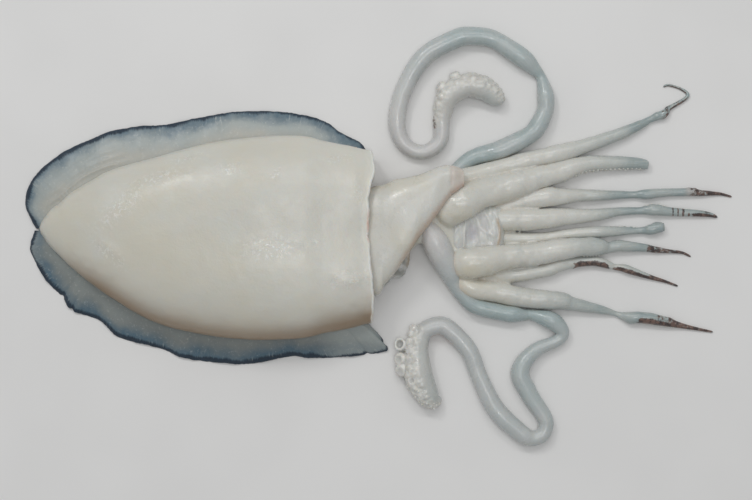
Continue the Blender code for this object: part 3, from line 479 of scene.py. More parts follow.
def row_normals(rows):
    """Outward normals of rows of points, which run round an outside, each row further along it."""
    around = np.roll(rows, -1, axis=1) - np.roll(rows, 1, axis=1)
    normals = unit(np.cross(around, np.gradient(rows, axis=0)))
    middle = rows.mean(axis=1, keepdims=True)
    return -normals if np.sum((rows - middle) * normals) < 0 else normals


def swell(rows, normals, lumps):
    """Pushes the rows out by round lumps: x, y, z, radius, height."""
    push = np.zeros(rows.shape[:-1])
    for x, y, z, radius, height in lumps:
        distance = np.linalg.norm(rows - (x, y, z), axis=-1)
        push += height * np.exp(-((distance / radius) ** 2))
    return rows + normals * push[..., None]


def on_ground(rows):
    """Presses the rows flat where they would go below the surface, in place."""
    rows[..., 2] = np.maximum(rows[..., 2], GROUND_GAP)
    return rows


def plan_of(x, y, z=0.0):
    """Points over a plan, at one height or each at its own."""
    return np.dstack([x, y, z + np.zeros(x.shape)])


def spanned_rows(stations, step, sides, tip=0.0, fullness=LOFT_FULLNESS):
    """Rounded sections that span two side points: a x, a y, b x, b y, low, high."""
    along, route = smooth_route(stations, step)
    a, b, low, high = route[:, 0:2], route[:, 2:4], route[:, 4], route[:, 5]
    c, s = superellipse(np.linspace(0.0, 2 * np.pi, sides, endpoint=False), fullness)
    shrink = np.ones(len(along))
    if tip:
        shrink = np.sqrt(np.clip(1 - np.clip((along - along[-1] + tip) / tip, 0, 1) ** 2, 0.0004, 1))
    middle, half = (a + b) / 2, (a - b) / 2 * shrink[:, None]
    plan = middle[:, None, :] + half[:, None, :] * c[None, :, None]
    height = ((low + high) / 2)[:, None] + ((high - low) / 2 * shrink)[:, None] * s
    return np.dstack([plan, height])


class Limb:
    """A tapering limb on a smooth route: rows of points round it, from its root to its tip."""

    def __init__(self, stations, step, sides, blunt=False, root=0.0):
        self.along, route = smooth_route(stations, step)
        self.centre, self.radius = route[:, :3], route[:, 3].copy()
        if root:
            self.radius *= np.sqrt(np.clip(1 - (1 - np.clip(self.along / root, 0, 1)) ** 2, 0.02, 1))
        self.angle = np.linspace(0.0, 2 * np.pi, sides, endpoint=False)
        tangent = unit(np.gradient(self.centre, axis=0))
        self.side = unit(np.cross(tangent, (0.0, 0.0, 1.0)))
        self.up = unit(np.cross(self.side, tangent))
        end = BLUNT_END if blunt else max(BLUNT_END, float(route[-1, 3]))
        share = np.clip((self.along - self.along[-1] + end) / end, 0.0, 1.0)
        self.radius *= np.sqrt(np.clip(1 - share**2, BLUNT_SHARE if blunt else 0.01, 1.0))
        self.rows = self.ring_points(self.radius[:, None] * np.ones(sides))

    def ring_points(self, reach):
        """Points round the route, each at its own reach from it."""
        c, s = np.cos(self.angle), np.sin(self.angle)
        spread = self.side[:, None, :] * c[None, :, None] + self.up[:, None, :] * s[None, :, None]
        return self.centre[:, None, :] + spread * reach[..., None]

    def relief(self, amount, size, shift):
        """Uneven flesh: shallow swellings along the limb, in shares of its radius."""
        uneven = soft_noise(self.rows, size, shift) * 0.6 + soft_noise(self.rows, size * 0.45, shift) * 0.4
        self.rows = self.rows + row_normals(self.rows) * (uneven * amount * self.radius[:, None])[..., None]

    def facing(self, side):
        """How far each point faces +Y (side 1) or -Y (side -1), from -1 to 1."""
        return row_normals(self.rows)[..., 1] * side

    def keep(self, kept):
        """Leaves out the rows that aren't kept."""
        self.along, self.centre, self.radius = self.along[kept], self.centre[kept], self.radius[kept]
        self.side, self.up, self.rows = self.side[kept], self.up[kept], self.rows[kept]


# Meshes


def ring_quads(index):
    """The faces between rows of points, given the points' numbers."""
    right = np.roll(index, -1, axis=1)
    return np.stack([index[:-1], right[:-1], right[1:], index[1:]], axis=-1).reshape(-1, 4).tolist()


def skin(name, rows, marks, material):
    """A piece whose skin runs over rows of points in millimetres, with a value for each point per mark."""
    count, around = rows.shape[:2]
    index = np.arange(count * around).reshape(count, around)
    verts = np.vstack([rows.reshape(-1, 3), rows[0].mean(axis=0), rows[-1].mean(axis=0)])
    faces = ring_quads(index)
    for ring, centre in ((index[0], count * around), (index[-1], count * around + 1)):
        faces += [(int(ring[i]), int(ring[(i + 1) % around]), centre) for i in range(around)]
    mesh = bpy.data.meshes.new(name)
    mesh.from_pydata((verts * MM).tolist(), [], faces)
    for mark, values in marks.items():
        values = np.asarray(values, np.float32).reshape(count, around)
        set_marks(mesh, {mark: np.append(values, [values[0].mean(), values[-1].mean()])})
    piece_from(name, mesh, material)


def piece_from(name, mesh, material):
    """Turns the mesh's faces outwards, shades it smooth, and sets it in the scene as part of the animal."""
    bm = bmesh.new()
    bm.from_mesh(mesh)
    bmesh.ops.recalc_face_normals(bm, faces=bm.faces[:])
    bm.to_mesh(mesh)
    bm.free()
    mesh.shade_smooth()
    mesh.materials.append(material)
    obj = bpy.data.objects.new(name, mesh)
    bpy.context.scene.collection.objects.link(obj)
    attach(obj, BODY)
    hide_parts(NODE)


def turned(centre, axis, profile, radius, sides, wobble=1.0):
    """Rows of points of a small turned shape: profile pairs are along the axis and radius, in radii."""
    turn = Vector(axis).normalized().to_track_quat("Z", "Y").to_matrix()
    angle = np.linspace(0.0, 2 * np.pi, sides, endpoint=False)
    rows = []
    for along, share in profile:
        reach = share * radius * wobble
        ring = np.column_stack([np.cos(angle) * reach, np.sin(angle) * reach, np.full(sides, along * radius)])
        rows.append(ring @ np.array(turn).T + centre)
    return np.array(rows)


def joined_mesh(name, parts):
    """One mesh of many closed skins, each given as rows and its marks."""
    verts, faces, marks = [], [], {}
    base = 0
    for rows, values in parts:
        count, around = rows.shape[:2]
        index = np.arange(count * around).reshape(count, around) + base
        faces += [*ring_quads(index), index[0][::-1].tolist(), index[-1].tolist()]
        verts.append(rows.reshape(-1, 3))
        base += count * around
        for mark, value in values.items():
            marks.setdefault(mark, []).append(np.asarray(value, np.float32).ravel())
    mesh = bpy.data.meshes.new(name)
    mesh.from_pydata((np.vstack(verts) * MM).tolist(), [], faces)
    set_marks(mesh, {mark: np.concatenate(values) for mark, values in marks.items()})
    return mesh


def set_marks(mesh, marks):
    """Gives the mesh's points their marks, as attributes that its material reads."""
    for mark, values in marks.items():
        values = np.ascontiguousarray(values, np.float32)
        mesh.attributes.new(mark, "FLOAT", "POINT").data.foreach_set("value", values)


def joined_skins(name, parts, material):
    """A piece of many small skins that stay separate."""
    piece_from(name, joined_mesh(name, parts), material)


def fused_skins(name, parts, voxel, softening, material):
    """One skin round all the parts, soft where they meet, with the marks of the nearest part."""
    source = joined_mesh(name + "_parts", parts)
    values = {}
    for mark in parts[0][1]:
        values[mark] = np.empty(len(source.vertices), np.float32)
        source.attributes[mark].data.foreach_get("value", values[mark])
    tree = KDTree(len(source.vertices))
    for i, vertex in enumerate(source.vertices):
        tree.insert(vertex.co, i)
    tree.balance()
    whole = bpy.data.objects.new(name + "_parts", source)
    bpy.context.scene.collection.objects.link(whole)
    fuse = whole.modifiers.new("fuse", "REMESH")
    fuse.mode = "VOXEL"
    fuse.voxel_size = voxel * MM
    soften = whole.modifiers.new("soften", "SMOOTH")
    soften.factor, soften.iterations = 0.5, softening
    mesh = bpy.data.meshes.new_from_object(whole.evaluated_get(bpy.context.evaluated_depsgraph_get()))
    bpy.data.objects.remove(whole, do_unlink=True)
    bpy.data.meshes.remove(source)
    mesh.name = name
    nearest = [tree.find(vertex.co)[1] for vertex in mesh.vertices]
    set_marks(mesh, {mark: value[nearest] for mark, value in values.items()})
    for vertex in mesh.vertices:
        vertex.co.z = max(vertex.co.z, GROUND_GAP * MM)
    piece_from(name, mesh, material)


# Materials


class Signal:
    """A shader socket that takes part in sums: an expression on signals adds the Math nodes it needs."""

    def __init__(self, paint, socket):
        self.paint, self.socket = paint, socket

    def maths(self, operation, *values):
        """The result of a Math node for the values."""
        node = self.paint.node("ShaderNodeMath", {"operation": operation}, dict(enumerate(values)))
        return Signal(self.paint, node.outputs[0])

    def __add__(self, other):
        return self.maths("ADD", self, other)

    def __radd__(self, other):
        return self.maths("ADD", other, self)

    def __sub__(self, other):
        return self.maths("SUBTRACT", self, other)

    def __rsub__(self, other):
        return self.maths("SUBTRACT", other, self)

    def __mul__(self, other):
        return self.maths("MULTIPLY", self, other)

    def __rmul__(self, other):
        return self.maths("MULTIPLY", other, self)

    def clamped(self):
        """The same, held between 0 and 1."""
        return Signal(self.paint, self.paint.node("ShaderNodeClamp", {}, {"Value": self}).outputs[0])


class Paint:
    """A material's node tree, built by expressions and by one method for every other node."""

    def __init__(self, name):
        self.material = bpy.data.materials.new(name)
        self.material.use_nodes = True
        self.tree = self.material.node_tree
        self.shader = self.tree.nodes["Principled BSDF"]

    def node(self, kind, settings, sockets):
        """A node of that kind: its settings are set first, then its sockets, by name or by number."""
        node = self.tree.nodes.new(kind)
        for key, value in settings.items():
            setattr(node, key, value)
        for key, value in sockets.items():
            self.set(node.inputs[key], value)
        return node

    def set(self, socket, value):
        """Links a signal to the socket, or gives it a value: a colour of three parts is made opaque."""
        if isinstance(value, Signal):
            self.tree.links.new(value.socket, socket)
        elif hasattr(socket.default_value, "__len__") and len(value) == 3 and len(socket.default_value) == 4:
            socket.default_value = (*value, 1.0)
        else:
            socket.default_value = value

    def mark(self, name):
        """A mark that set_marks gave the mesh."""
        return Signal(self, self.node("ShaderNodeAttribute", {"attribute_name": name}, {}).outputs["Fac"])

    def place(self):
        """Where the point is, in metres."""
        return Signal(self, self.node("ShaderNodeTexCoord", {}, {}).outputs["Object"])

    def noise(self, size, detail=3.0, vector=None, roughness=0.55):
        """Noise from 0 to 1 with features about as large as the size, in millimetres."""
        sockets = {"Vector": vector or self.place(), "Scale": 1 / (size * MM), "Detail": detail,
                   "Roughness": roughness}
        return Signal(self, self.node("ShaderNodeTexNoise", {}, sockets).outputs["Fac"])

    def cells(self, size):
        """The distance to the middle of the nearest cell, from 0, for cells of about that size."""
        sockets = {"Vector": self.place(), "Scale": 1 / (size * MM)}
        return Signal(self, self.node("ShaderNodeTexVoronoi", {}, sockets).outputs["Distance"])

    def flat_vector(self, x, y):
        """A place in plan, for noise that is drawn out one way."""
        return Signal(self, self.node("ShaderNodeCombineXYZ", {}, {"X": x, "Y": y}).outputs[0])

    def ramp(self, value, start, end):
        """From 0 at the start to 1 at the end of the value's range, smoothly; the start may be the larger."""
        if start > end:
            return 1.0 - self.ramp(value, end, start)
        sockets = {"Value": value, "From Min": start, "From Max": end}
        node = self.node("ShaderNodeMapRange", {"interpolation_type": "SMOOTHSTEP"}, sockets)
        return Signal(self, node.outputs[0])

    def blend(self, one, other, factor):
        """Two colours mixed by a factor. A Mix node's sockets share names, so they go by number."""
        node = self.node("ShaderNodeMix", {"data_type": "RGBA"}, {0: factor, 6: one, 7: other})
        return Signal(self, node.outputs[2])

    def bump(self, height, distance):
        """A normal that is uneven by a height from 0 to 1, as deep as the distance in millimetres."""
        sockets = {"Height": height, "Distance": distance * MM, "Strength": 1.0}
        return Signal(self, self.node("ShaderNodeBump", {}, sockets).outputs["Normal"])

    def finish(self, colour, roughness, normal, coat, subsurface, depth=5.0, coat_roughness=0.2):
        """The wet flesh's surface: light goes in about as deep as the depth, in millimetres."""
        sockets = {"Base Color": colour, "Roughness": roughness, "Normal": normal, "Coat Weight": coat,
                   "Coat Roughness": coat_roughness, "Subsurface Weight": subsurface,
                   "Subsurface Radius": FLESH_SCATTER, "Subsurface Scale": depth * MM, "IOR": FLESH_IOR}
        for name, value in sockets.items():
            self.set(self.shader.inputs[name], value)
        return self.material


def wet_height(paint, coarse, fine):
    """The unevenness of wet flesh: shallow swellings with finer ones between them."""
    return paint.noise(coarse, 3.0) * 0.7 + paint.noise(fine, 2.0) * 0.3


def wet_roughness(paint, size, rough=0.42, smooth=0.22):
    """Roughness of flesh that is wet in patches of about that size in millimetres."""
    return rough - paint.ramp(paint.noise(size, 3.0), 0.44, 0.64) * (rough - smooth)


def mantle_material(looks):
    """Thick opaque flesh with a pale lip, faint marks, painted brown shade low on -Y, painted light and
    painted glints.
    """
    paint = Paint("mantle_flesh")
    colour = paint.blend(looks.flesh, looks.flesh_warm, paint.ramp(paint.noise(46.0, 2.0), 0.36, 0.66) * 0.55)
    colour = paint.blend(colour, looks.flesh_cool, paint.ramp(paint.noise(30.0, 2.0), 0.5, 0.72) * 0.5)
    # Painted light: cream lightens the mantle towards the rim.
    colour = paint.blend(colour, looks.cream, paint.mark("pale") * 0.34)
    # Painted brown shade low on the -Y side, which is turned from the light.
    colour = paint.blend(colour, looks.flank_shade, paint.mark("flank_shade"))
    colour = paint.blend(colour, looks.cream, paint.mark("lip"))
    colour = paint.blend(colour, looks.pink, paint.mark("pink") * paint.ramp(paint.noise(5.0), 0.3, 0.6))
    fleck = paint.ramp(paint.cells(9.0), 0.05, 0.02) * paint.ramp(paint.noise(21.0), 0.56, 0.62)
    colour = paint.blend(colour, looks.fleck, fleck * 0.5)
    # Painted highlight: flecks of cream in the wet places, which take more coat there as well.
    glints = paint.ramp(paint.noise(1.7, 3.0, roughness=0.7), 0.52, 0.6) * paint.mark("wet")
    colour = paint.blend(colour, looks.cream, glints * 0.85)
    roughness = wet_roughness(paint, 9.0, 0.44, 0.32) - paint.mark("wet") * 0.13
    height = wet_height(paint, 4.6, 1.3) + glints * 0.4
    coat = looks.wetness + glints * 0.8
    return paint.finish(colour, roughness, paint.bump(height, looks.unevenness), coat=coat,
                        subsurface=looks.softness)


def fin_material(name, looks, side):
    """A thin translucent sheet: grey by the crease, bluish further out, with a dark edge of fine streaks."""
    paint = Paint(name)
    edge, along = paint.mark("edge"), paint.mark("along")
    cloud, fine = paint.noise(9.0, 4.0), paint.noise(2.6, 3.0)
    streaks = paint.noise(1.0, 3.0, paint.flat_vector(along * (MM * 1.3), edge * (MM * 0.14)))
    far = edge + (cloud - 0.5) * 7.0 + (paint.noise(30.0, 2.0) - 0.5) * 16.0
    deep = paint.mark("deep")
    if side > 0:
        colour = paint.blend(looks.fin, looks.fin_warm, paint.ramp(far, 8.0, 17.0))
        blue = paint.ramp(far, 9.5, 1.5) * 0.9
    else:
        # On the -Y side a darker copy of the fin's colour is painted as shade, beside the mantle and towards
        # the edge.
        low = (deep * 0.8 + paint.ramp(far, 14.0, 5.0) * 0.4).clamped()
        colour = paint.blend(looks.fin, looks.fin_minus_y_shade, low)
        blue = paint.ramp(far, 10.5, 2.5) * (0.3 + deep * 0.7)
    colour = paint.blend(colour, looks.fin_blue, (blue * (0.55 + fine * 0.7)).clamped())
    frosted = paint.ramp(paint.noise(1.6, 4.0, roughness=0.7), 0.54, 0.72) * paint.ramp(edge, 1.5, 5.0)
    colour = paint.blend(colour, looks.flesh_cool, frosted * 0.28)
    dark = paint.ramp(edge - deep * 1.2 + (streaks - 0.5) * 2.4 + (cloud - 0.5) * 5.0, 2.0, 0.4)
    colour = paint.blend(colour, looks.fin_edge, dark * 0.96)
    patches = paint.ramp(paint.noise(6.0, 2.0), 0.5, 0.62)
    near_edge = paint.ramp(edge, 7.5, 3.5) * paint.ramp(edge, 0.7, 2.0)
    frost = paint.ramp(streaks, 0.54, 0.68) * near_edge * patches
    colour = paint.blend(colour, looks.cream, (frost * paint.mark("frost") * 0.6).clamped())
    roughness = 0.36 + fine * 0.14
    height = fine * 0.4 + paint.noise(5.0, 2.0) * 0.6
    return paint.finish(colour, roughness, paint.bump(height, looks.unevenness), coat=looks.wetness,
                        subsurface=looks.softness * 0.6, depth=1.5)


def limb_material(name, looks, pale, blue, club=False):
    """Limb muscle: pale and warm at its root, painted warm shade where limbs meet, bluish where thin, patches
    of skin.
    """
    paint = Paint(name)
    along, around = paint.mark("along"), paint.mark("around")
    fibres = paint.noise(1.0, 3.0, paint.flat_vector(along * (MM * 0.12), around * (MM * 2.2)))
    cloud = paint.noise(9.0, 3.0)
    colour = paint.blend(pale, looks.flesh_warm, paint.mark("warm"))
    colour = paint.blend(colour, looks.flesh_cool, paint.ramp(cloud, 0.42, 0.68) * 0.4)
    thin = (paint.mark("thin") * (0.62 + paint.ramp(paint.noise(26.0, 2.0), 0.3, 0.62) * 0.42)).clamped()
    colour = paint.blend(colour, blue, thin)
    colour = paint.blend(colour, pale, paint.ramp(fibres, 0.5, 0.66) * 0.3)
    colour = paint.blend(colour, looks.pink, paint.mark("pink"))
    # Painted warm shade in the creases where limbs touch.
    colour = paint.blend(colour, looks.peach_shade, paint.mark("touch") * 0.32)
    if club:
        mottled = paint.ramp(paint.noise(3.0, 3.0), 0.42, 0.6)
        colour = paint.blend(colour, looks.arm, paint.mark("club") * (0.35 + mottled * 0.5))
        colour = paint.blend(colour, looks.cream, paint.mark("club") * mottled * 0.35)
        # Painted shade in the clubs' cups.
        colour = paint.blend(colour, looks.cup, paint.mark("cup"))
        colour = paint.blend(colour, looks.cream, paint.mark("ring") * 0.6)
    tatters = paint.noise(2.0, 4.0, roughness=0.72)
    covered = paint.ramp(paint.mark("skin") + (tatters - 0.5) * 1.5, 0.42, 0.68)
    mottles = paint.ramp(paint.noise(2.8, 4.0, roughness=0.7), 0.4, 0.56)
    colour = paint.blend(colour, paint.blend(looks.skin, looks.skin_dark, mottles), covered * 0.93)
    roughness = wet_roughness(paint, 5.0, 0.36, 0.16)
    height = wet_height(paint, 2.6, 0.8) * 0.75 + fibres * 0.25
    return paint.finish(colour, roughness, paint.bump(height, looks.unevenness), coat=looks.wetness * 2.4,
                        coat_roughness=0.16, subsurface=looks.softness * 0.5, depth=1.8)


def funnel_material(looks):
    """The funnel's smooth muscle: tan and pink along its mouth, painted warm shade along its free edge."""
    paint = Paint("funnel_flesh")
    colour = paint.blend(looks.arm, looks.flesh_warm, paint.ramp(paint.noise(24.0, 2.0), 0.4, 0.66) * 0.6)
    # Peach is painted warm shade along the free edge, and the funnel's own tan at its mouth.
    colour = paint.blend(colour, looks.peach_shade, (paint.mark("tan") * (0.6 + paint.noise(2.4) * 0.7)).clamped())
    colour = paint.blend(colour, looks.pink, (paint.mark("pink") * (0.4 + paint.noise(1.6) * 0.8)).clamped())
    roughness = wet_roughness(paint, 6.0, 0.38, 0.2)
    return paint.finish(colour, roughness, paint.bump(wet_height(paint, 3.4, 1.0), looks.unevenness),
                        coat=looks.wetness, subsurface=looks.softness * 0.6, depth=2.5)


def film_material(name, looks, colour, other):
    """A wet folded film of skin."""
    paint = Paint(name)
    mixed = paint.blend(colour, other, paint.ramp(paint.noise(6.0, 2.0), 0.36, 0.66))
    mixed = paint.blend(mixed, looks.hollow, paint.mark("hollow") * 0.7)
    mixed = paint.blend(mixed, looks.cream, paint.mark("crest") * 0.32)
    mixed = paint.blend(mixed, looks.tan, paint.mark("tan") * (0.25 + paint.noise(2.4) * 0.8))
    height = paint.noise(1.8, 3.0)
    return paint.finish(mixed, wet_roughness(paint, 4.0), paint.bump(height, looks.unevenness),
                        coat=looks.wetness * 2, subsurface=looks.softness * 0.5, depth=1.5)


def sucker_material(looks):
    """Firm pale suckers with painted shade inside the cup, and a horny ring."""
    paint = Paint("sucker_flesh")
    colour = paint.blend(looks.arm, looks.cream, paint.ramp(paint.noise(2.0), 0.35, 0.65))
    # Painted shade in the cups.
    colour = paint.blend(colour, looks.cup, paint.mark("cup"))
    colour = paint.blend(colour, looks.cream, paint.mark("ring") * 0.8)
    return paint.finish(colour, 0.3 + paint.noise(1.0) * 0.12, paint.bump(paint.noise(0.7, 3.0), 0.12),
                        coat=looks.wetness, subsurface=looks.softness * 0.3, depth=0.8)


def floor_material(stage):
    """A pale matt floor, very nearly even."""
    paint = Paint("stage_floor")
    pale = tuple(c * 0.97 for c in stage.floor_colour)
    colour = paint.blend(stage.floor_colour, pale, paint.ramp(paint.noise(90.0, 2.0), 0.35, 0.65))
    paint.set(paint.shader.inputs["Base Color"], colour)
    paint.set(paint.shader.inputs["Roughness"], 0.62 + paint.noise(40.0) * 0.1)
    return paint.material


# Settings


def colour_setting(name, description, default):
    """A colour among the settings."""
    return FloatVectorProperty(name=name, description=description, subtype="COLOR", size=3, default=default,
                               min=0.0, max=1.0)


class CuttlefishLooks(bpy.types.PropertyGroup):
    """Colours and wetness of the flesh."""

    flesh: colour_setting("Flesh", "Colour of the mantle", (0.63, 0.62, 0.56))
    flesh_warm: colour_setting("Warm flesh", "Warmer patches of the flesh", (0.63, 0.60, 0.50))
    flesh_cool: colour_setting("Cool flesh", "Cooler patches of the flesh", (0.63, 0.645, 0.61))
    # Painted brown shade on the mantle's low -Y side, turned from the light.
    flank_shade: colour_setting("Flank", "The mantle's low flank", (0.31, 0.225, 0.145))
    # Cream is also laid on as painted light near the mantle's rim and as its flecks of painted highlight.
    cream: colour_setting("Cream", "Rims, crests and frosted places", (0.78, 0.775, 0.73))
    pink: colour_setting("Pink", "Blush of the rim and the mouth of the funnel", (0.62, 0.48, 0.43))
    # Painted warm shade where arms touch and along the funnel's free edge, and a little of the funnel mouth's
    # own tan.
    peach_shade: colour_setting("Peach", "Where arms touch, and the funnel's free edge", (0.56, 0.42, 0.30))
    tan: colour_setting("Tan", "Dried edges of the funnel and the membrane", (0.50, 0.38, 0.25))
    fleck: colour_setting("Fleck", "Faint grey flecks", (0.30, 0.29, 0.26))
    fin: colour_setting("Fin", "The fins' middle", (0.365, 0.40, 0.39))
    # Painted shade: a darker copy of the fin's colour for the -Y fin, turned from the light.
    fin_minus_y_shade: colour_setting("Lower fin", "The middle of the fin on the -Y side", (0.235, 0.258, 0.25))
    fin_warm: colour_setting("Inner fin", "The fins by the crease", (0.43, 0.43, 0.39))
    fin_blue: colour_setting("Blue of the fins", "The fins' outer band", (0.08, 0.145, 0.195))
    fin_edge: colour_setting("Edge of the fins", "The fins' very edge", (0.012, 0.028, 0.05))
    arm: colour_setting("Arms", "Arms, funnel and clubs", (0.65, 0.645, 0.60))
    arm_blue: colour_setting("Thin arms", "Where the arms are thin", (0.31, 0.37, 0.37))
    tentacle_pale: colour_setting("Pale tentacles", "The tentacles' whiter stretches", (0.60, 0.59, 0.585))
    tentacle_blue: colour_setting("Tentacles", "The tentacles' translucent stalks", (0.37, 0.445, 0.445))
    membrane: colour_setting("Membrane", "The folded membrane round the mouth", (0.60, 0.60, 0.585))
    hollow: colour_setting("Hollow", "Between the membrane's folds", (0.47, 0.455, 0.485))
    flap: colour_setting("Flap", "The torn film at the funnel's edge", (0.34, 0.34, 0.31))
    skin: colour_setting("Skin", "Lighter parts of the skin left on the arms", (0.18, 0.10, 0.075))
    skin_dark: colour_setting("Dark skin", "Darker parts of the skin left on the arms", (0.035, 0.014, 0.012))
    # Painted shade inside the suckers' cups.
    cup: colour_setting("Cups", "Inside the suckers", (0.42, 0.42, 0.40))
    wetness: FloatProperty(name="Wetness", description="Weight of the wet coat", default=0.1, min=0, max=1)
    softness: FloatProperty(name="Softness", description="Light that scatters inside", default=0.75,
                            min=0, max=1)
    unevenness: FloatProperty(name="Unevenness", description="Depth of the fine relief, in millimetres",
                              default=0.22, min=0, max=1)


class CuttlefishForm(bpy.types.PropertyGroup):
    """How finely the pieces are made, and how uneven they are."""

    mantle_step: FloatProperty(name="Mantle step", description="Between the mantle's rings, in millimetres",
                               default=0.9, min=0.4, max=5)
    mantle_sides: IntProperty(name="Mantle sides", description="Points round the mantle", default=300, min=60)
    fin_step: FloatProperty(name="Fin step", description="Between points along a fin, in millimetres",
                            default=0.55, min=0.3, max=5)
    fin_rows: IntProperty(name="Fin rows", description="Points across a fin", default=56, min=12)
    limb_step: FloatProperty(name="Limb step", description="Between a limb's rings, in millimetres",
                             default=0.6, min=0.3, max=5)
    limb_sides: IntProperty(name="Limb sides", description="Points round a limb", default=40, min=8)
    limb_relief: FloatProperty(name="Limb relief", description="Unevenness of the limbs, in their radii",
                               default=0.09, min=0, max=0.5)
    mantle_relief: FloatProperty(name="Mantle relief", description="Unevenness of the mantle, in millimetres",
                                 default=0.22, min=0, max=2)
    fin_ragged: FloatProperty(name="Ragged edge", description="How ragged a fin's edge is, in millimetres",
                              default=0.3, min=0, max=2)


class CuttlefishStage(bpy.types.PropertyGroup):
    """The floor, the lights and the camera."""

    floor_colour: colour_setting("Floor", "Colour of the floor", (0.78, 0.775, 0.765))
    floor_size: FloatProperty(name="Floor size", description="Side of the floor", default=6.0, unit="LENGTH")
    camera_height: FloatProperty(name="Camera height", description="Camera above the floor", default=1.149,
                                 unit="LENGTH")
    camera_x: FloatProperty(name="Camera x", description="Camera along the animal", default=-0.001375,
                            unit="LENGTH")
    camera_y: FloatProperty(name="Camera y", description="Camera across the animal", default=-0.007425,
                            unit="LENGTH")
    lens: FloatProperty(name="Lens", description="Focal length in millimetres", default=100.0, min=10)
    key: FloatProperty(name="Key light", description="Power of the large light on the +Y side", default=4.5)
    glint: FloatProperty(name="Window", description="Power of the small light that makes glints", default=3.4)
    top: FloatProperty(name="Top light", description="Power of the light overhead", default=4.5)
    streak: FloatProperty(name="Long light", description="Power of the long light by the arms", default=1.9)
    sky: FloatProperty(name="Sky", description="Strength of the even light all round", default=0.35)


# Pieces


def rim_wave(y):
    """How far the rim stands forward at a given y: most at its +Y corner and along its -Y side."""
    bulge = RIM_BULGE * np.exp(-(((y - RIM_BULGE_Y) / RIM_BULGE_WIDTH) ** 2))
    shelf = RIM_SHELF * np.minimum(1.0, -y / RIM_SHELF_WIDTH) ** 2
    points = np.stack([y, y * 0, y * 0], axis=-1)
    wavy = soft_noise(points, 5.0) * RIM_WAVINESS + soft_noise(points, 2.0) * RIM_WAVINESS * 0.4
    return np.where(y > 0, bulge, shelf) + wavy - RIM_WAVINESS


def mantle_rings(stations, inset, forward, sides):
    """Sections of the mantle at stations of x, middle y, half width, height, drawn in by the inset."""
    x, middle, half, height = (stations[:, k, None] for k in range(4))
    inset, forward = np.asarray(inset, float)[:, None], np.asarray(forward, float)[:, None]
    angle = np.linspace(0.0, 2 * np.pi, sides, endpoint=False)
    upper = np.sin(angle) > 0
    crown, keel = superellipse(angle, MANTLE_CROWN), superellipse(angle, MANTLE_KEEL)
    c, s = np.where(upper, crown[0], keel[0]), np.where(upper, crown[1], keel[1])
    base = MANTLE_SIDE_HEIGHT * height
    y = (half - inset) * c
    towards_rim = np.clip((x - VALLEY_X[0]) / (VALLEY_X[1] - VALLEY_X[0]), 0, 1)
    valley = VALLEY_DEPTH * towards_rim * np.exp(-((y / VALLEY_HALF_WIDTH) ** 2))
    z_upper = base + (height - inset - base - valley) * s
    z_lower = base + (base + MANTLE_SINK - inset) * s
    at_rim = np.clip((x - RIM_WAVE_X) / (MANTLE[-1][0] - RIM_WAVE_X), 0, 1) ** 2
    place = x + at_rim * rim_wave(y + middle) + forward
    return np.dstack([place, y + middle, np.where(upper, z_upper, z_lower)])


def oval(rows, x, y, length, width, degrees):
    """A soft oval place in plan: 1 at its middle, fading out past its half length and half width."""
    c, s = math.cos(math.radians(degrees)), math.sin(math.radians(degrees))
    dx, dy = rows[..., 0] - x, rows[..., 1] - y
    return np.exp(-(((dx * c + dy * s) / length) ** 2 + ((dy * c - dx * s) / width) ** 2))


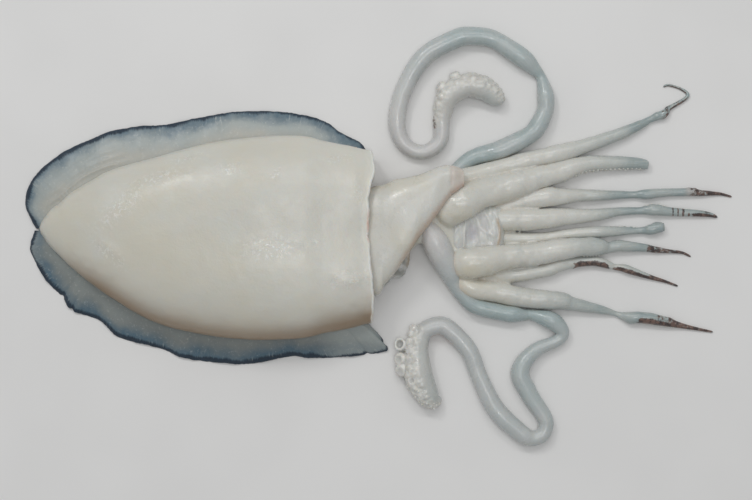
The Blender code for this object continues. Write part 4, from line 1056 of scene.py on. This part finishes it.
def make_mantle(form, looks):
    """The mantle: its outside from the tail to the rim, then round the lip and back into the hollow."""
    route = smooth_route(MANTLE, form.mantle_step)[1]
    route[:, 2] = np.maximum(route[:, 2], MANTLE_LEAST_HALF_WIDTH)
    none = np.zeros(len(route))
    rows = mantle_rings(route, none, none, form.mantle_sides)
    turn = np.linspace(0.0, np.pi, LIP_RINGS + 1)[1:]
    deeper = np.linspace(1.0, POCKET_DEPTH, POCKET_RINGS)
    wall = LIP + (WALL - LIP) * ramp(deeper, 0.0, WALL_GROWS_OVER)
    inset = np.concatenate([LIP / 2 * (1 - np.cos(turn)), wall])
    forward = np.concatenate([LIP_BULGE * np.sin(turn), -deeper])
    lip = mantle_rings(np.repeat(route[-1:], len(inset), axis=0), inset, forward, form.mantle_sides)
    count = len(rows)
    normals = row_normals(rows)
    push = soft_noise(rows, 22.0) * 0.5 + soft_noise(rows, 9.0, 3.3) * 0.3 + soft_noise(rows, 3.6, 7.7) * 0.12
    push = push * form.mantle_relief * 2 - MANTLE_SET_IN
    for *place, height in MANTLE_SWELLINGS:
        push += height * oval(rows, *place)
    top = ramp(rows[..., 2], 2.0, 8.0)
    at_edge = 1 - ramp(route[:, 0], *SMOOTH_RIM_X)[:, None] * (1 - SMOOTH_RIM_SHARE)
    rows = rows + normals * (push * top * at_edge)[..., None]
    rows = on_ground(np.vstack([rows, lip]))
    normals = row_normals(rows)
    # Painted brown shade low on the -Y side, turned from the light; less of it near the ground.
    low = ramp(-normals[..., 1], 0.12, 0.74) * ramp(rows[..., 2], 34.0, 18.0) * (rows[..., 1] < 0)
    hidden = ramp(rows[..., 2], 13.0, 5.0)
    flank_shade = np.clip(low * ramp(rows[..., 0], -184.0, -150.0) * (1 - 0.6 * hidden), 0, 1)
    ring = np.arange(len(rows))[:, None] * np.ones(form.mantle_sides) - count
    edge = 1.0 * ((ring >= 0) & (ring < PALE_LIP_RINGS))
    inside = 1.0 * (ring >= PALE_LIP_RINGS)
    blush = edge * band(rows[..., 1], *LIP_PINK_Y)
    patchy = 0.8 + 0.4 * soft_noise(rows, 7.0)
    # Wet places are smoother, and take the flecks of painted highlight.
    wet = np.max([oval(rows, *place) for place in MANTLE_WET_GLINTS], axis=0) * (rows[..., 2] > 15.0) * (1 - inside)
    # Painted light towards the rim, on the outside and away from the painted shade.
    pale = ramp(rows[..., 0], -75.0, -12.0) * (1 - inside) * (1 - flank_shade)
    marks = {"flank_shade": flank_shade, "lip": edge * patchy, "pink": np.clip(blush + inside * 0.5, 0, 1), "wet": wet,
             "pale": pale}
    skin("mantle", rows, marks, mantle_material(looks))


def distance_to_line(points, line):
    """The distance of plan points from the nearest of a line's closely set points."""
    flat = points.reshape(-1, 2)
    nearest = []
    for start in range(0, len(flat), POINTS_AT_A_TIME):
        gap = flat[start:start + POINTS_AT_A_TIME, None, :] - line[None, :, :]
        nearest.append(np.sqrt((gap**2).sum(axis=-1).min(axis=1)))
    return np.concatenate(nearest).reshape(points.shape[:-1])


def mantle_side_line(side):
    """The line where a fin meets the mantle, seen from above."""
    route = smooth_route(MANTLE, 1.5)[1]
    return np.column_stack([route[:, 0], route[:, 1] + side * route[:, 2]])


def make_fin(name, edge_stations, side, form, material):
    """A fin: a rippled sheet, thin at its ragged edge and thick at the root under the mantle's side."""
    along, outer = smooth_route(edge_stations, form.fin_step)
    tangent = unit(np.gradient(outer, axis=0))
    outward = np.column_stack([-tangent[:, 1], tangent[:, 0]]) * side
    flat = np.column_stack([along, np.full(len(along), side * 40.0), np.zeros(len(along))])
    ragged = soft_noise(flat, 3.0) * 0.6 + soft_noise(flat, 1.2) * 0.4 + soft_noise(flat, 9.0) * 0.7
    outer = outer + outward * ((ragged - 0.9) * form.fin_ragged)[:, None]
    length, depth = FIN_NICK_SIZE
    for nick_side, x, y in FIN_NICKS:
        gap = np.linalg.norm(outer - (x, y), axis=1) / length
        outer = outer - outward * ((nick_side == side) * depth * np.exp(-(gap**2)))[:, None]
    aim = np.column_stack([np.clip(outer[:, 0], *FIN_ROOT_AIM_X), np.zeros(len(outer))])
    share = np.linspace(0.0, 1.0, len(outer))[:, None]
    buried = FIN_ROOT_AT_TAIL + (FIN_ROOT_AT_RIM - FIN_ROOT_AT_TAIL) * share
    root = outer + (aim - outer) * buried
    across = 1 - (1 - np.linspace(0.0, 1.0, form.fin_rows)) ** FIN_CROWDING
    plan = root[:, None, :] + (outer - root)[:, None, :] * across[None, :, None]
    inward = np.linalg.norm(plan - outer[:, None, :], axis=-1)
    ripple = FIN_RIPPLE * (1 + np.sin(2 * np.pi * along / FIN_RIPPLE_LENGTH)) / 2
    lift = ripple[:, None] * np.exp(-inward / FIN_RIPPLE_REACH)
    thick = FIN_EDGE + (FIN_THICKNESS - FIN_EDGE) * (1 - np.exp(-inward / FIN_THICKENS_OVER))
    rise = FIN_RISE * (1 - np.exp(-inward / FIN_RISE_LENGTH))
    top = np.dstack([plan, thick + rise + lift])
    crease = distance_to_line(plan, mantle_side_line(side))
    uneven = soft_noise(top, 13.0, side) * 0.45 + soft_noise(top, 5.0, side) * 0.2
    uneven = uneven + soft_noise(top, 2.0) * 0.05
    top[..., 2] += uneven * (0.25 + 0.5 * ramp(inward, 0.0, 5.0))
    if side > 0:
        folded = band(plan[..., 0], *FIN_FOLDS_X)
        wander = soft_noise(np.dstack([plan, crease * 0]), 16.0, 5.0) * 1.2
        for place, width, height in FIN_FOLDS:
            top[..., 2] += folded * height * np.exp(-(((crease - place - wander) / width) ** 2))
    radial = soft_noise(np.dstack([along[:, None] + inward * 0.2, inward * 0.12, inward * 0]), 0.9)
    top[..., 2] += radial * 0.12 * np.exp(-inward / 3.0)
    bottom = np.dstack([plan, np.maximum(0.05, lift * np.exp(-inward / 2.5))])
    loops = np.concatenate([top, bottom[:, ::-1]], axis=1)
    far = np.concatenate([inward, inward[:, ::-1]], axis=1)
    run = np.repeat(along[:, None], loops.shape[1], axis=1)
    frost = 0.3 + 0.7 * (side > 0) * band(loops[..., 0], *FIN_FROST_X)
    # deep marks where the dark edge is broad and, on the -Y side, where painted shade goes.
    deep = band(loops[..., 0], *FIN_DEEP_X[side])
    marks = {"edge": far, "along": run, "frost": frost, "deep": deep}
    skin(name, on_ground(loops), marks, material)


def make_membrane(looks):
    """A patch of folded skin, as heights over its plan, with sides that go down between the arms."""
    xs, ys = (np.linspace(*ends, points) for ends, points in zip((MEMBRANE_X, MEMBRANE_Y), MEMBRANE_POINTS))
    x, y = np.meshgrid(xs, ys, indexing="ij")
    plan = np.dstack([x, y])
    middle_y, half_y = sum(MEMBRANE_Y) / 2, (MEMBRANE_Y[1] - MEMBRANE_Y[0]) / 2
    tops = np.array(MEMBRANE_TOP)
    z = np.interp(x, tops[:, 0], tops[:, 1]) - MEMBRANE_SIDE_DROP * np.abs((y - middle_y) / half_y) ** 4
    z -= MEMBRANE_END_DROP * ramp(x, MEMBRANE_X[0] + 4.0, MEMBRANE_X[0])
    crest = np.zeros(x.shape)
    for i, (width, height, points) in enumerate(MEMBRANE_CRESTS):
        line = smooth_route(points, 0.3)[1]
        gap = distance_to_line(plan, line) + soft_noise(plan_of(x, y, 9.0 * i), 3.0) * 0.4
        patchy = 0.75 + 0.35 * soft_noise(plan_of(x, y, 5.0 * i), 5.0)
        z += height * patchy * np.exp(-((gap / width) ** 2))
        crest = np.maximum(crest, np.exp(-((gap / (width * 0.55)) ** 2)) * patchy)
    centre_x, centre_y, half_width, half_length, depth = MEMBRANE_HOLLOW
    hollow = np.exp(-(((x - centre_x) / half_width) ** 2 + ((y - centre_y) / half_length) ** 2) ** 2)
    z -= depth * hollow
    half_width, height = MEMBRANE_RIM_SIZE
    rim = np.exp(-((distance_to_line(plan, smooth_route(MEMBRANE_RIM, 0.3)[1]) / half_width) ** 2))
    pleats = soft_noise(plan_of(x + y * 0.15, y * 0.22), 1.5) * ramp(z, 7.0, 11.0)
    z += height * rim + soft_noise(plan_of(x, y), 4.0) * 0.35 + pleats * 0.34
    crest = np.clip(crest + ramp(pleats, 0.25, 0.7) * 0.6, 0, 1)
    loops = np.concatenate([plan_of(x, y, z), plan_of(x, y, MEMBRANE_UNDERSIDE)[:, ::-1]], axis=1)
    marks = {"crest": np.clip(crest, 0, 1) * (1 - rim), "tan": rim, "hollow": hollow}
    marks = {mark: np.concatenate([values, np.zeros(x.shape)], axis=1) for mark, values in marks.items()}
    skin("membrane", loops, marks, film_material("membrane_skin", looks, looks.membrane, looks.flesh_cool))


def make_funnel(looks):
    """The funnel: its outside, then round its lip and back into its mouth."""
    rows = spanned_rows(FUNNEL, *FUNNEL_MESH, fullness=FUNNEL_FULLNESS)
    count = len(rows)
    centre = rows[-1].mean(axis=0)
    lips = []
    for angle in np.linspace(0.0, np.pi, FUNNEL_LIP_RINGS + 1)[1:]:
        ring = rows[-1] + (centre - rows[-1]) * (FUNNEL_LIP_DRAWN_IN * (1 - math.cos(angle)) / 2)
        lips.append(ring + np.array([*FUNNEL_LIP_BULGE, 0.0]) * math.sin(angle))
    inner = lips[-1]
    for back in np.linspace(0.15, 1.0, FUNNEL_MOUTH_RINGS):
        narrowed = inner + (centre - inner) * FUNNEL_MOUTH_NARROWS * back
        lips.append(narrowed + np.array([*FUNNEL_MOUTH, 0.0]) * back)
    rows = np.vstack([rows, np.array(lips)])
    normals = row_normals(rows)
    uneven = soft_noise(rows, 14.0, 2.0) * 0.4 + soft_noise(rows, 5.0) * 0.09 + soft_noise(rows, 1.8) * 0.03
    fade = np.ones(len(rows))
    fade[count:] = 0.2
    rows = rows + normals * (uneven * fade[:, None])[..., None]
    rows = swell(rows, normals, FUNNEL_LUMPS)
    # Painted warm shade, peach and some pink, along the free edge, which faces away from the light.
    free_edge_shade = ramp(normals[..., 1] * -0.75 + normals[..., 0] * 0.65, 0.32, 0.9)
    free_edge_shade = free_edge_shade * ramp(rows[..., 2], 9.0, 15.0)
    mouth = ramp(rows[..., 0], 37.5, 42.0)
    crease_x, crease_y, bow, half_width, depth = FUNNEL_CREASE
    bent = rows[..., 0] - crease_x + ((rows[..., 1] - crease_y) / bow) ** 2
    crease = np.exp(-((bent / half_width) ** 2)) * ramp(rows[..., 1], 25.0, 29.0)
    rows = rows - normals * (crease * depth)[..., None]
    tan = np.clip(free_edge_shade * 0.7 * ramp(rows[..., 0], 4.0, 16.0) + mouth * 0.15, 0, 1)
    pink = np.clip(mouth * 0.25 + crease * 0.3 + free_edge_shade * 0.4 * ramp(rows[..., 0], 20.0, 34.0), 0, 1)
    skin("funnel", rows, {"tan": tan, "pink": pink}, funnel_material(looks))


def make_flap(looks):
    """The torn film that hangs from the funnel's edge, with a frayed outline."""
    rows = spanned_rows(FLAP, *FLAP_MESH)
    normals = row_normals(rows)
    uneven = soft_noise(rows, 3.0) * 0.5 + soft_noise(rows, 1.3) * 0.25
    rows = rows + normals * uneven[..., None]
    crest = ramp(-normals[..., 1], 0.55, 0.9) * ramp(soft_noise(rows, 2.0), 0.0, 0.5)
    tan = ramp(rows[..., 0], 14.5, 17.0)
    material = film_material("flap_skin", looks, looks.flap, looks.membrane)
    skin("flap", on_ground(rows), {"crest": crest, "tan": tan}, material)


def skin_mark(limb, patches):
    """Where skin is left on a limb: patches of from x, to x, side, strength."""
    x = limb.rows[..., 0]
    mark = np.zeros(x.shape)
    for start, end, side, strength in patches:
        fade = min(5.0, (end - start) * 0.3)
        patch = band(x, start - fade / 2, start + fade, end - fade, end + fade / 2)
        around = ramp(limb.facing(side), -0.45, 0.35) if side else 1.0
        mark = np.maximum(mark, patch * around * strength)
    return mark


def touching(name, points):
    """Where points of a limb are close to the roots of others, for painted warm shade: 1 where they touch."""
    flat = points.reshape(-1, 3)
    gap = np.full(len(flat), 1e3)
    for other, stations in (*ARMS.items(), *TENTACLES.items()):
        if other != name:
            route = smooth_route(stations, TOUCH_STEP)[1]
            for *centre, radius in route[(route[:, 0] < TOUCH_END_X[1]) & (route[:, 0] > TOUCH_START_X)]:
                gap = np.minimum(gap, np.linalg.norm(flat - centre, axis=1) - radius)
    near = ramp(gap, TOUCH_REACH, 0.0) * ramp(flat[:, 0], TOUCH_END_X[1], TOUCH_END_X[0])
    return near.reshape(points.shape[:-1])


def limb_marks(limb, thin, warm, skin_left, pink, touch):
    """The marks of a limb's points: how far along and round it they are, in millimetres, and their looks."""
    marks = {"along": limb.along[:, None], "around": limb.radius[:, None] * limb.angle, "thin": thin,
             "warm": warm, "skin": skin_left, "pink": pink, "touch": touch}
    return {mark: values * np.ones(limb.rows.shape[:2]) for mark, values in marks.items()}


def make_arm(name, form, material, shift):
    """An arm's free length as a piece; its limb, and its root with its marks for the crown, are returned."""
    limb = Limb(ARMS[name], form.limb_step, form.limb_sides, name in ARM_CUT_ENDS, ARM_ROOT_ROUNDING[name])
    from_top = limb.angle - np.pi / 2
    keeled = 1 + 0.05 * np.cos(from_top) ** 2 - 0.03 * np.cos(3 * from_top)
    limb.rows = limb.ring_points(limb.radius[:, None] * keeled)
    limb.relief(form.limb_relief, 7.5, shift)
    limb.rows = swell(limb.rows, row_normals(limb.rows), ARM_LUMPS.get(name, ()))
    on_ground(limb.rows)
    x = limb.rows[..., 0]
    thin = ramp(x, *ARM_THIN_X[name])
    # Warmer sides, with painted warm shade most on the -Y side, turned from the light, and in the creases at
    # the roots.
    warm = ramp(x, ARM_WARM_X[1], ARM_WARM_X[0]) * (0.15 + 0.5 * ramp(limb.facing(-1), 0.0, 0.9))
    for place_x, place_y, reach, strength in ARM_WARM:
        gap = np.hypot(x - place_x, limb.rows[..., 1] - place_y) / reach
        warm = np.clip(warm + strength * np.exp(-(gap**2)), 0, 1)
    pink = band(x, *PINK_ARM_X) * PINK_ARM_STRENGTH * (name == PINK_ARM)
    skin_left = skin_mark(limb, ARM_SKIN.get(name, ()))
    marks = limb_marks(limb, thin, warm, skin_left, pink, touching(name, limb.rows))
    inner, outer = limb.centre[:, 0] < CROWN_END_X[1], limb.centre[:, 0] > CROWN_END_X[0]
    free = {mark: value[outer] for mark, value in marks.items()}
    start, gain = FREE_ARM_WIDTH
    narrowed = start + gain * ramp(limb.centre[outer, 0], CROWN_END_X[0], FREE_ARM_FULL_X)
    skin(name, scaled_rows(limb.rows[outer], limb.centre[outer], narrowed), free, material)
    start, loss = CROWN_SWELL
    swollen = start - loss * ramp(limb.centre[inner, 0], *CROWN_END_X)
    in_crown = scaled_rows(limb.rows[inner], limb.centre[inner], swollen)
    return limb, (in_crown, {mark: value[inner] for mark, value in marks.items()})


def scaled_rows(rows, centres, factors):
    """The rows, each made larger or smaller about its own centre."""
    return centres[:, None, :] + (rows - centres[:, None, :]) * factors[:, None, None]


def head_part():
    """The head as far as the crown of arms, with the marks that the arms have."""
    rows = spanned_rows(HEAD, *HEAD_MESH, tip=HEAD_TIP)
    rows = rows[rows[:, :, 0].mean(axis=1) > HEAD_START_X]
    rows = rows + row_normals(rows) * (soft_noise(rows, 6.0) * 0.35)[..., None]
    none = np.zeros(rows.shape[:2])
    marks = {"along": rows[..., 0], "around": rows[..., 1], "thin": none, "warm": none + 0.5, "skin": none,
             "pink": none, "touch": none}
    return rows, marks


def bead(place, normal, radius):
    """A small open sucker: its rows of points, and how deep in its cup each is, for painted shade there."""
    rows = turned(place, normal, BEAD_PROFILE, radius, BEAD_SIDES)
    first, cup_radius, darkness = BEAD_CUP
    depth = np.maximum(0.0, 1 - np.array(BEAD_PROFILE)[:, 1] / cup_radius) * darkness
    depth[:first] = 0.0
    cup = np.repeat(depth[:, None], BEAD_SIDES, axis=1)
    return rows, {"cup": cup, "ring": np.zeros(cup.shape)}


def arm_beads(name, limb, random):
    """The small suckers that show at an arm's side."""
    parts = []
    normals = row_normals(limb.rows)
    for start, end, side, lift, radius, pitch in ARM_BEADS.get(name, ()):
        x = limb.centre[:, 0]
        last = -math.inf
        for i in np.where((x > start) & (x < end))[0]:
            if limb.along[i] - last < pitch * random.uniform(0.85, 1.2):
                continue
            last = limb.along[i]
            outward = limb.side[i, 1] * side
            angle = math.radians(lift) if outward > 0 else math.pi - math.radians(lift)
            j = int(np.argmin(np.abs(np.angle(np.exp(1j * (limb.angle - angle))))))
            size = radius * random.uniform(0.75, 1.2)
            parts.append(bead(limb.rows[i, j] + normals[i, j] * size * 0.45, normals[i, j], size))
    return parts


def tentacle_limb(name, form, random, shift):
    """A tentacle's limb, with finer rows and small lumps on its club, and how far each point is on that."""
    limb = Limb(TENTACLES[name], form.limb_step / 2, CLUB_SIDES)
    limb.relief(form.limb_relief * 0.7, 10.0, shift)
    near = np.linalg.norm(limb.centre[:, :2] - CLUB_START[name], axis=1)
    near[:len(near) // 2] = math.inf
    club_row = int(np.argmin(near))
    limb.club_from = limb.along[club_row]
    limb.keep(np.concatenate([np.arange(0, club_row, 2), np.arange(club_row, len(near))]))
    club = ramp(limb.along, limb.club_from, limb.club_from + 10.0)[:, None] * np.ones(CLUB_SIDES)
    outer = np.cos(limb.angle) * -CLUB_SIDE[name]
    limb.bumpy = club * ramp(outer, -0.35, 0.45)
    normals = row_normals(limb.rows)
    drawn_in = limb.rows - normals * (limb.bumpy * CLUB_DRAWN_IN * limb.radius[:, None])[..., None]
    push = np.zeros(club.shape)
    on_club = limb.along > limb.club_from
    for place, radius, height in club_lumps(name, limb, drawn_in, random):
        gap = np.linalg.norm(drawn_in[on_club] - place, axis=-1) / radius
        push[on_club] = np.maximum(push[on_club], height * np.clip(1 - gap**2, 0, 1) ** 0.75)
    frilly = ramp(limb.along, limb.along[-1] - CLUB_TIP, limb.along[-1] - CLUB_TIP / 2)[:, None]
    push += (soft_noise(drawn_in, 1.1) * 0.5 + 0.1) * (0.2 + 0.8 * frilly)
    push = push * (0.25 + 0.75 * limb.bumpy) * np.minimum(1, limb.bumpy * 4)
    limb.rows = on_ground(drawn_in + normals * push[..., None])
    return limb, club


def club_lumps(name, limb, rows, random):
    """Lumps set in uneven cross rows over the side of a club that bears suckers: place, radius, height."""
    lumps = []
    length = limb.along[-1] - limb.club_from
    along = limb.club_from + 1.5
    while along < limb.along[-1] - 0.4:
        i = int(np.argmin(np.abs(limb.along - along)))
        mean = float(np.interp((along - limb.club_from) / length, CLUB_LUMP_SHARES, CLUB_LUMP_SIZES[name]))
        step = mean * 1.25 / (2 * math.pi * max(limb.radius[i], 1.0)) * CLUB_SIDES
        j = random.uniform(0, 1)
        while j < CLUB_SIDES:
            if limb.bumpy[i, int(j)] > 0.05 and rows[i, int(j), 2] > 1.0:
                radius = mean * random.uniform(0.55, 1.35)
                place = rows[i, int(j)] + random.uniform(-0.5, 0.5, 3)
                lumps.append((place, radius, radius * random.uniform(*CLUB_LUMP_HEIGHTS[name])))
            j += step * random.uniform(0.7, 1.5)
        along += mean * random.uniform(0.9, 1.3)
    return lumps


def with_same_marks(parts):
    """The parts with every mark that any of them has, at 0 where a part lacks it."""
    absent = {mark: 0.0 for _, marks in parts for mark in marks}
    return [(rows, {mark: value * np.ones(rows.shape[:2]) for mark, value in {**absent, **marks}.items()})
            for rows, marks in parts]


def club_beads(name, limb, random):
    """Small open suckers among the lumps of a club."""
    parts = []
    normals = row_normals(limb.rows)
    places = np.array([s[:3] for s in SUCKERS[name]])
    sizes = np.array([s[6] for s in SUCKERS[name]])
    at_tip = (limb.along > limb.along[-1] - CLUB_TIP)[:, None]
    bare = np.argwhere((limb.bumpy > 0.6) & at_tip & (limb.rows[..., 2] > 3.0) & (normals[..., 2] > 0.2))
    for i, j in bare[random.permutation(len(bare))]:
        place, size = limb.rows[i, j], random.uniform(0.4, 0.7)
        if np.all(np.linalg.norm(places - place, axis=1) > (sizes + size) * 1.5):
            parts.append(bead(place - normals[i, j] * size * 0.1, normals[i, j], size))
            places, sizes = np.vstack([places, place]), np.append(sizes, size)
        if len(parts) == CLUB_BEADS[name]:
            break
    return parts


def cup_sucker(limb, sucker, random):
    """A sucker with its cup on a short stalk that rises from the nearest point of its club."""
    middle, axis, (radius, opening) = np.array(sucker[:3]), unit(np.array(sucker[3:6])), sucker[6:]
    root = limb.centre[int(np.argmin(np.linalg.norm(limb.centre - middle, axis=1)))]
    turn = np.linspace(0, 2 * np.pi, SUCKER_SIDES, endpoint=False)
    wobble = 1 + 0.05 * np.sin(turn * 2 + random.uniform(0, 6))
    profile = np.array(LUMP_PROFILE) + (np.array(SUCKER_PROFILE) - LUMP_PROFILE) * opening
    cup = turned(middle, axis, profile, radius, SUCKER_SIDES, wobble)
    stalk = []
    for share in np.linspace(0.0, 0.9, STALK_RINGS):
        place = root + (middle - axis * radius - root) * share
        stalk.append(turned(place, axis, ((0.0, 0.95 - 0.2 * share * opening),), radius, SUCKER_SIDES)[0])
    rows = np.vstack([np.array(stalk), cup])
    rows = on_ground(rows + row_normals(rows) * (soft_noise(rows, 1.6) * 0.08 * radius / 2)[..., None])
    point = np.arange(-STALK_RINGS, len(cup))[:, None] * np.ones(SUCKER_SIDES)
    ring = 0.8 * ((point >= RING_POINTS[0]) & (point <= RING_POINTS[1]))
    # The cup's painted shade darkens deeper in.
    return rows, {"cup": ramp(point, *CUP_STARTS) * opening, "ring": ring, "along": rows[..., 0],
                  "around": rows[..., 1], "club": np.ones(point.shape)}


def tentacle_stains(name, limb):
    """The patch of skin by the +Y club, and the pink place where the -Y tentacle turns to its club."""
    x, y, z = np.moveaxis(limb.rows, -1, 0)
    if name == "tentacle_plus_y":
        return band(y, 55.0, 60.0, 63.0, 69.0) * ramp(x, 34.5, 29.5) * (x > 24.0) * 0.6, 0.0
    return 0.0, band(x, 26.0, 30.0, 38.0, 44.0) * band(y, -62.0, -57.0, -54.5, -52.5) * 0.8 * (z < 6.0)


def make_tentacle(name, form, material, random, shift):
    """A tentacle in one skin with its cups; the finest suckers of its club are returned."""
    limb, club = tentacle_limb(name, form, random, shift)
    thin = np.interp(limb.along / limb.along[-1], *np.array(TENTACLE_THIN[name]).T)[:, None]
    marks = limb_marks(limb, thin * (1 - limb.bumpy * 0.7), club * 0.25 + 0.05, *tentacle_stains(name, limb),
                       touching(name, limb.rows) * 0.5)
    marks["club"] = limb.bumpy
    cups = [cup_sucker(limb, sucker, random) for sucker in SUCKERS[name]]
    parts = with_same_marks([(limb.rows, marks), *cups])
    fused_skins(name, parts, TENTACLE_VOXEL, TENTACLE_SOFTENING, material)
    return club_beads(name, limb, random)


# Stage


def area_light(name, place, size, power, target=LIGHT_TARGET, colour=(1.0, 1.0, 1.0)):
    """A rectangular light at its place, turned towards the target."""
    data = bpy.data.lights.new(name, "AREA")
    data.shape = "RECTANGLE"
    data.size, data.size_y = size
    data.energy = power
    data.color = colour
    obj = bpy.data.objects.new(name, data)
    obj.location = place
    obj.rotation_euler = (Vector(target) - obj.location).to_track_quat("-Z", "Y").to_euler()
    bpy.context.scene.collection.objects.link(obj)


def make_floor(stage):
    """A plain pale floor, large enough to fill the picture."""
    mesh = bpy.data.meshes.new("floor")
    bm = bmesh.new()
    bmesh.ops.create_grid(bm, x_segments=FLOOR_SEGMENTS, y_segments=FLOOR_SEGMENTS, size=stage.floor_size / 2)
    bm.to_mesh(mesh)
    bm.free()
    mesh.materials.append(floor_material(stage))
    floor = bpy.data.objects.new("floor", mesh)
    bpy.context.scene.collection.objects.link(floor)


def make_camera(stage):
    """A camera that looks straight down."""
    data = bpy.data.cameras.new("camera")
    data.lens = stage.lens
    data.sensor_width = SENSOR_WIDTH
    camera = bpy.data.objects.new("camera", data)
    camera.location = (stage.camera_x, stage.camera_y, stage.camera_height)
    bpy.context.scene.collection.objects.link(camera)
    bpy.context.scene.camera = camera


def make_lights(stage):
    """Even light all round, two large lights, a small one for the glints and a long one by the arms."""
    world = bpy.data.worlds.new("even_light")
    bpy.context.scene.world = world
    world.use_nodes = True
    sky = world.node_tree.nodes["Background"]
    sky.inputs["Color"].default_value = SKY_COLOUR
    sky.inputs["Strength"].default_value = stage.sky
    area_light("key_light", (-0.45, 0.85, 1.4), (1.5, 1.0), stage.key, colour=KEY_COLOUR)
    area_light("window_light", (-0.62, 1.0, 1.25), (0.22, 0.3), stage.glint)
    area_light("top_light", (0.15, 0.0, 1.6), (0.7, 0.5), stage.top)
    area_light("long_light", (0.22, 0.8, 1.2), (0.7, 0.1), stage.streak, target=ARMS_TARGET)


# Operators, one for each piece or group of like pieces


class CUTTLEFISH_OT_mantle(bpy.types.Operator):
    """Build the mantle with its rim, its soft swellings and the hollow behind the rim"""

    bl_idname = "cuttlefish.mantle"
    bl_label = "Mantle"

    def execute(self, context):
        make_mantle(context.scene.cuttlefish_form, context.scene.cuttlefish_looks)
        return {"FINISHED"}


class CUTTLEFISH_OT_fins(bpy.types.Operator):
    """Build the two fins that run along the mantle and meet at the tail"""

    bl_idname = "cuttlefish.fins"
    bl_label = "Fins"

    def execute(self, context):
        form, looks = context.scene.cuttlefish_form, context.scene.cuttlefish_looks
        make_fin("fin_plus_y", FIN_PLUS_Y, 1, form, fin_material("fin_plus_y_flesh", looks, 1))
        make_fin("fin_minus_y", FIN_MINUS_Y, -1, form, fin_material("fin_minus_y_flesh", looks, -1))
        return {"FINISHED"}


class CUTTLEFISH_OT_membrane(bpy.types.Operator):
    """Build the folded membrane round the mouth"""

    bl_idname = "cuttlefish.membrane"
    bl_label = "Membrane"

    def execute(self, context):
        make_membrane(context.scene.cuttlefish_looks)
        return {"FINISHED"}


class CUTTLEFISH_OT_funnel(bpy.types.Operator):
    """Build the funnel and the torn film at its edge"""

    bl_idname = "cuttlefish.funnel"
    bl_label = "Funnel"

    def execute(self, context):
        make_funnel(context.scene.cuttlefish_looks)
        make_flap(context.scene.cuttlefish_looks)
        return {"FINISHED"}


class CUTTLEFISH_OT_arms(bpy.types.Operator):
    """Build the head, the eight arms that leave it and the small suckers at their sides"""

    bl_idname = "cuttlefish.arms"
    bl_label = "Arms"

    def execute(self, context):
        form, looks = context.scene.cuttlefish_form, context.scene.cuttlefish_looks
        random = np.random.default_rng(RANDOM_SEED)
        material = limb_material("arm_flesh", looks, looks.arm, looks.arm_blue)
        beads, crown = [], [head_part()]
        for i, name in enumerate(ARMS):
            limb, in_crown = make_arm(name, form, material, 3.7 * i)
            crown.append(in_crown)
            beads += arm_beads(name, limb, random)
        fused_skins("crown", crown, CROWN_VOXEL, CROWN_SOFTENING, material)
        joined_skins("arm_suckers", beads, sucker_material(looks))
        return {"FINISHED"}


class CUTTLEFISH_OT_tentacles(bpy.types.Operator):
    """Build the two tentacles with the clubs at their ends"""

    bl_idname = "cuttlefish.tentacles"
    bl_label = "Tentacles"

    def execute(self, context):
        form, looks = context.scene.cuttlefish_form, context.scene.cuttlefish_looks
        random = np.random.default_rng(RANDOM_SEED + 1)
        material = limb_material("tentacle_flesh", looks, looks.tentacle_pale, looks.tentacle_blue, club=True)
        beads = []
        for i, name in enumerate(TENTACLES):
            beads += make_tentacle(name, form, material, random, 5.1 * i + 2.0)
        joined_skins("club_fine_suckers", beads, sucker_material(looks))
        return {"FINISHED"}


class CUTTLEFISH_OT_stage(bpy.types.Operator):
    """Set the floor, the lights and the camera"""

    bl_idname = "cuttlefish.stage"
    bl_label = "Stage"

    def execute(self, context):
        stage = context.scene.cuttlefish_stage
        make_floor(stage)
        make_lights(stage)
        make_camera(stage)
        context.scene.view_settings.view_transform = "Standard"
        return {"FINISHED"}


OPERATORS = (
    CUTTLEFISH_OT_mantle, CUTTLEFISH_OT_fins, CUTTLEFISH_OT_funnel, CUTTLEFISH_OT_membrane,
    CUTTLEFISH_OT_arms, CUTTLEFISH_OT_tentacles, CUTTLEFISH_OT_stage,
)


class CUTTLEFISH_PT_panel(bpy.types.Panel):
    """Lists the pieces and their settings"""

    bl_idname = "CUTTLEFISH_PT_panel"
    bl_label = "Raw cuttlefish"
    bl_space_type = "VIEW_3D"
    bl_region_type = "UI"
    bl_category = "Cuttlefish"

    def draw(self, context):
        for operator in OPERATORS:
            self.layout.operator(operator.bl_idname)
        for settings in (context.scene.cuttlefish_form, context.scene.cuttlefish_looks,
                         context.scene.cuttlefish_stage):
            box = self.layout.box()
            for name in settings.__annotations__:
                box.prop(settings, name)


SETTINGS = {"cuttlefish_looks": CuttlefishLooks, "cuttlefish_form": CuttlefishForm,
            "cuttlefish_stage": CuttlefishStage}


def register():
    for cls in (*SETTINGS.values(), *OPERATORS, CUTTLEFISH_PT_panel):
        bpy.utils.register_class(cls)
    for name, cls in SETTINGS.items():
        setattr(bpy.types.Scene, name, PointerProperty(type=cls))


def unregister():
    for name in SETTINGS:
        delattr(bpy.types.Scene, name)
    for cls in (CUTTLEFISH_PT_panel, *reversed(OPERATORS), *SETTINGS.values()):
        bpy.utils.unregister_class(cls)


def main():
    """Builds every piece and the stage."""
    register()
    for operator in OPERATORS:
        group, name = operator.bl_idname.split(".")
        getattr(getattr(bpy.ops, group), name)()


if __name__ == "__main__":
    main()
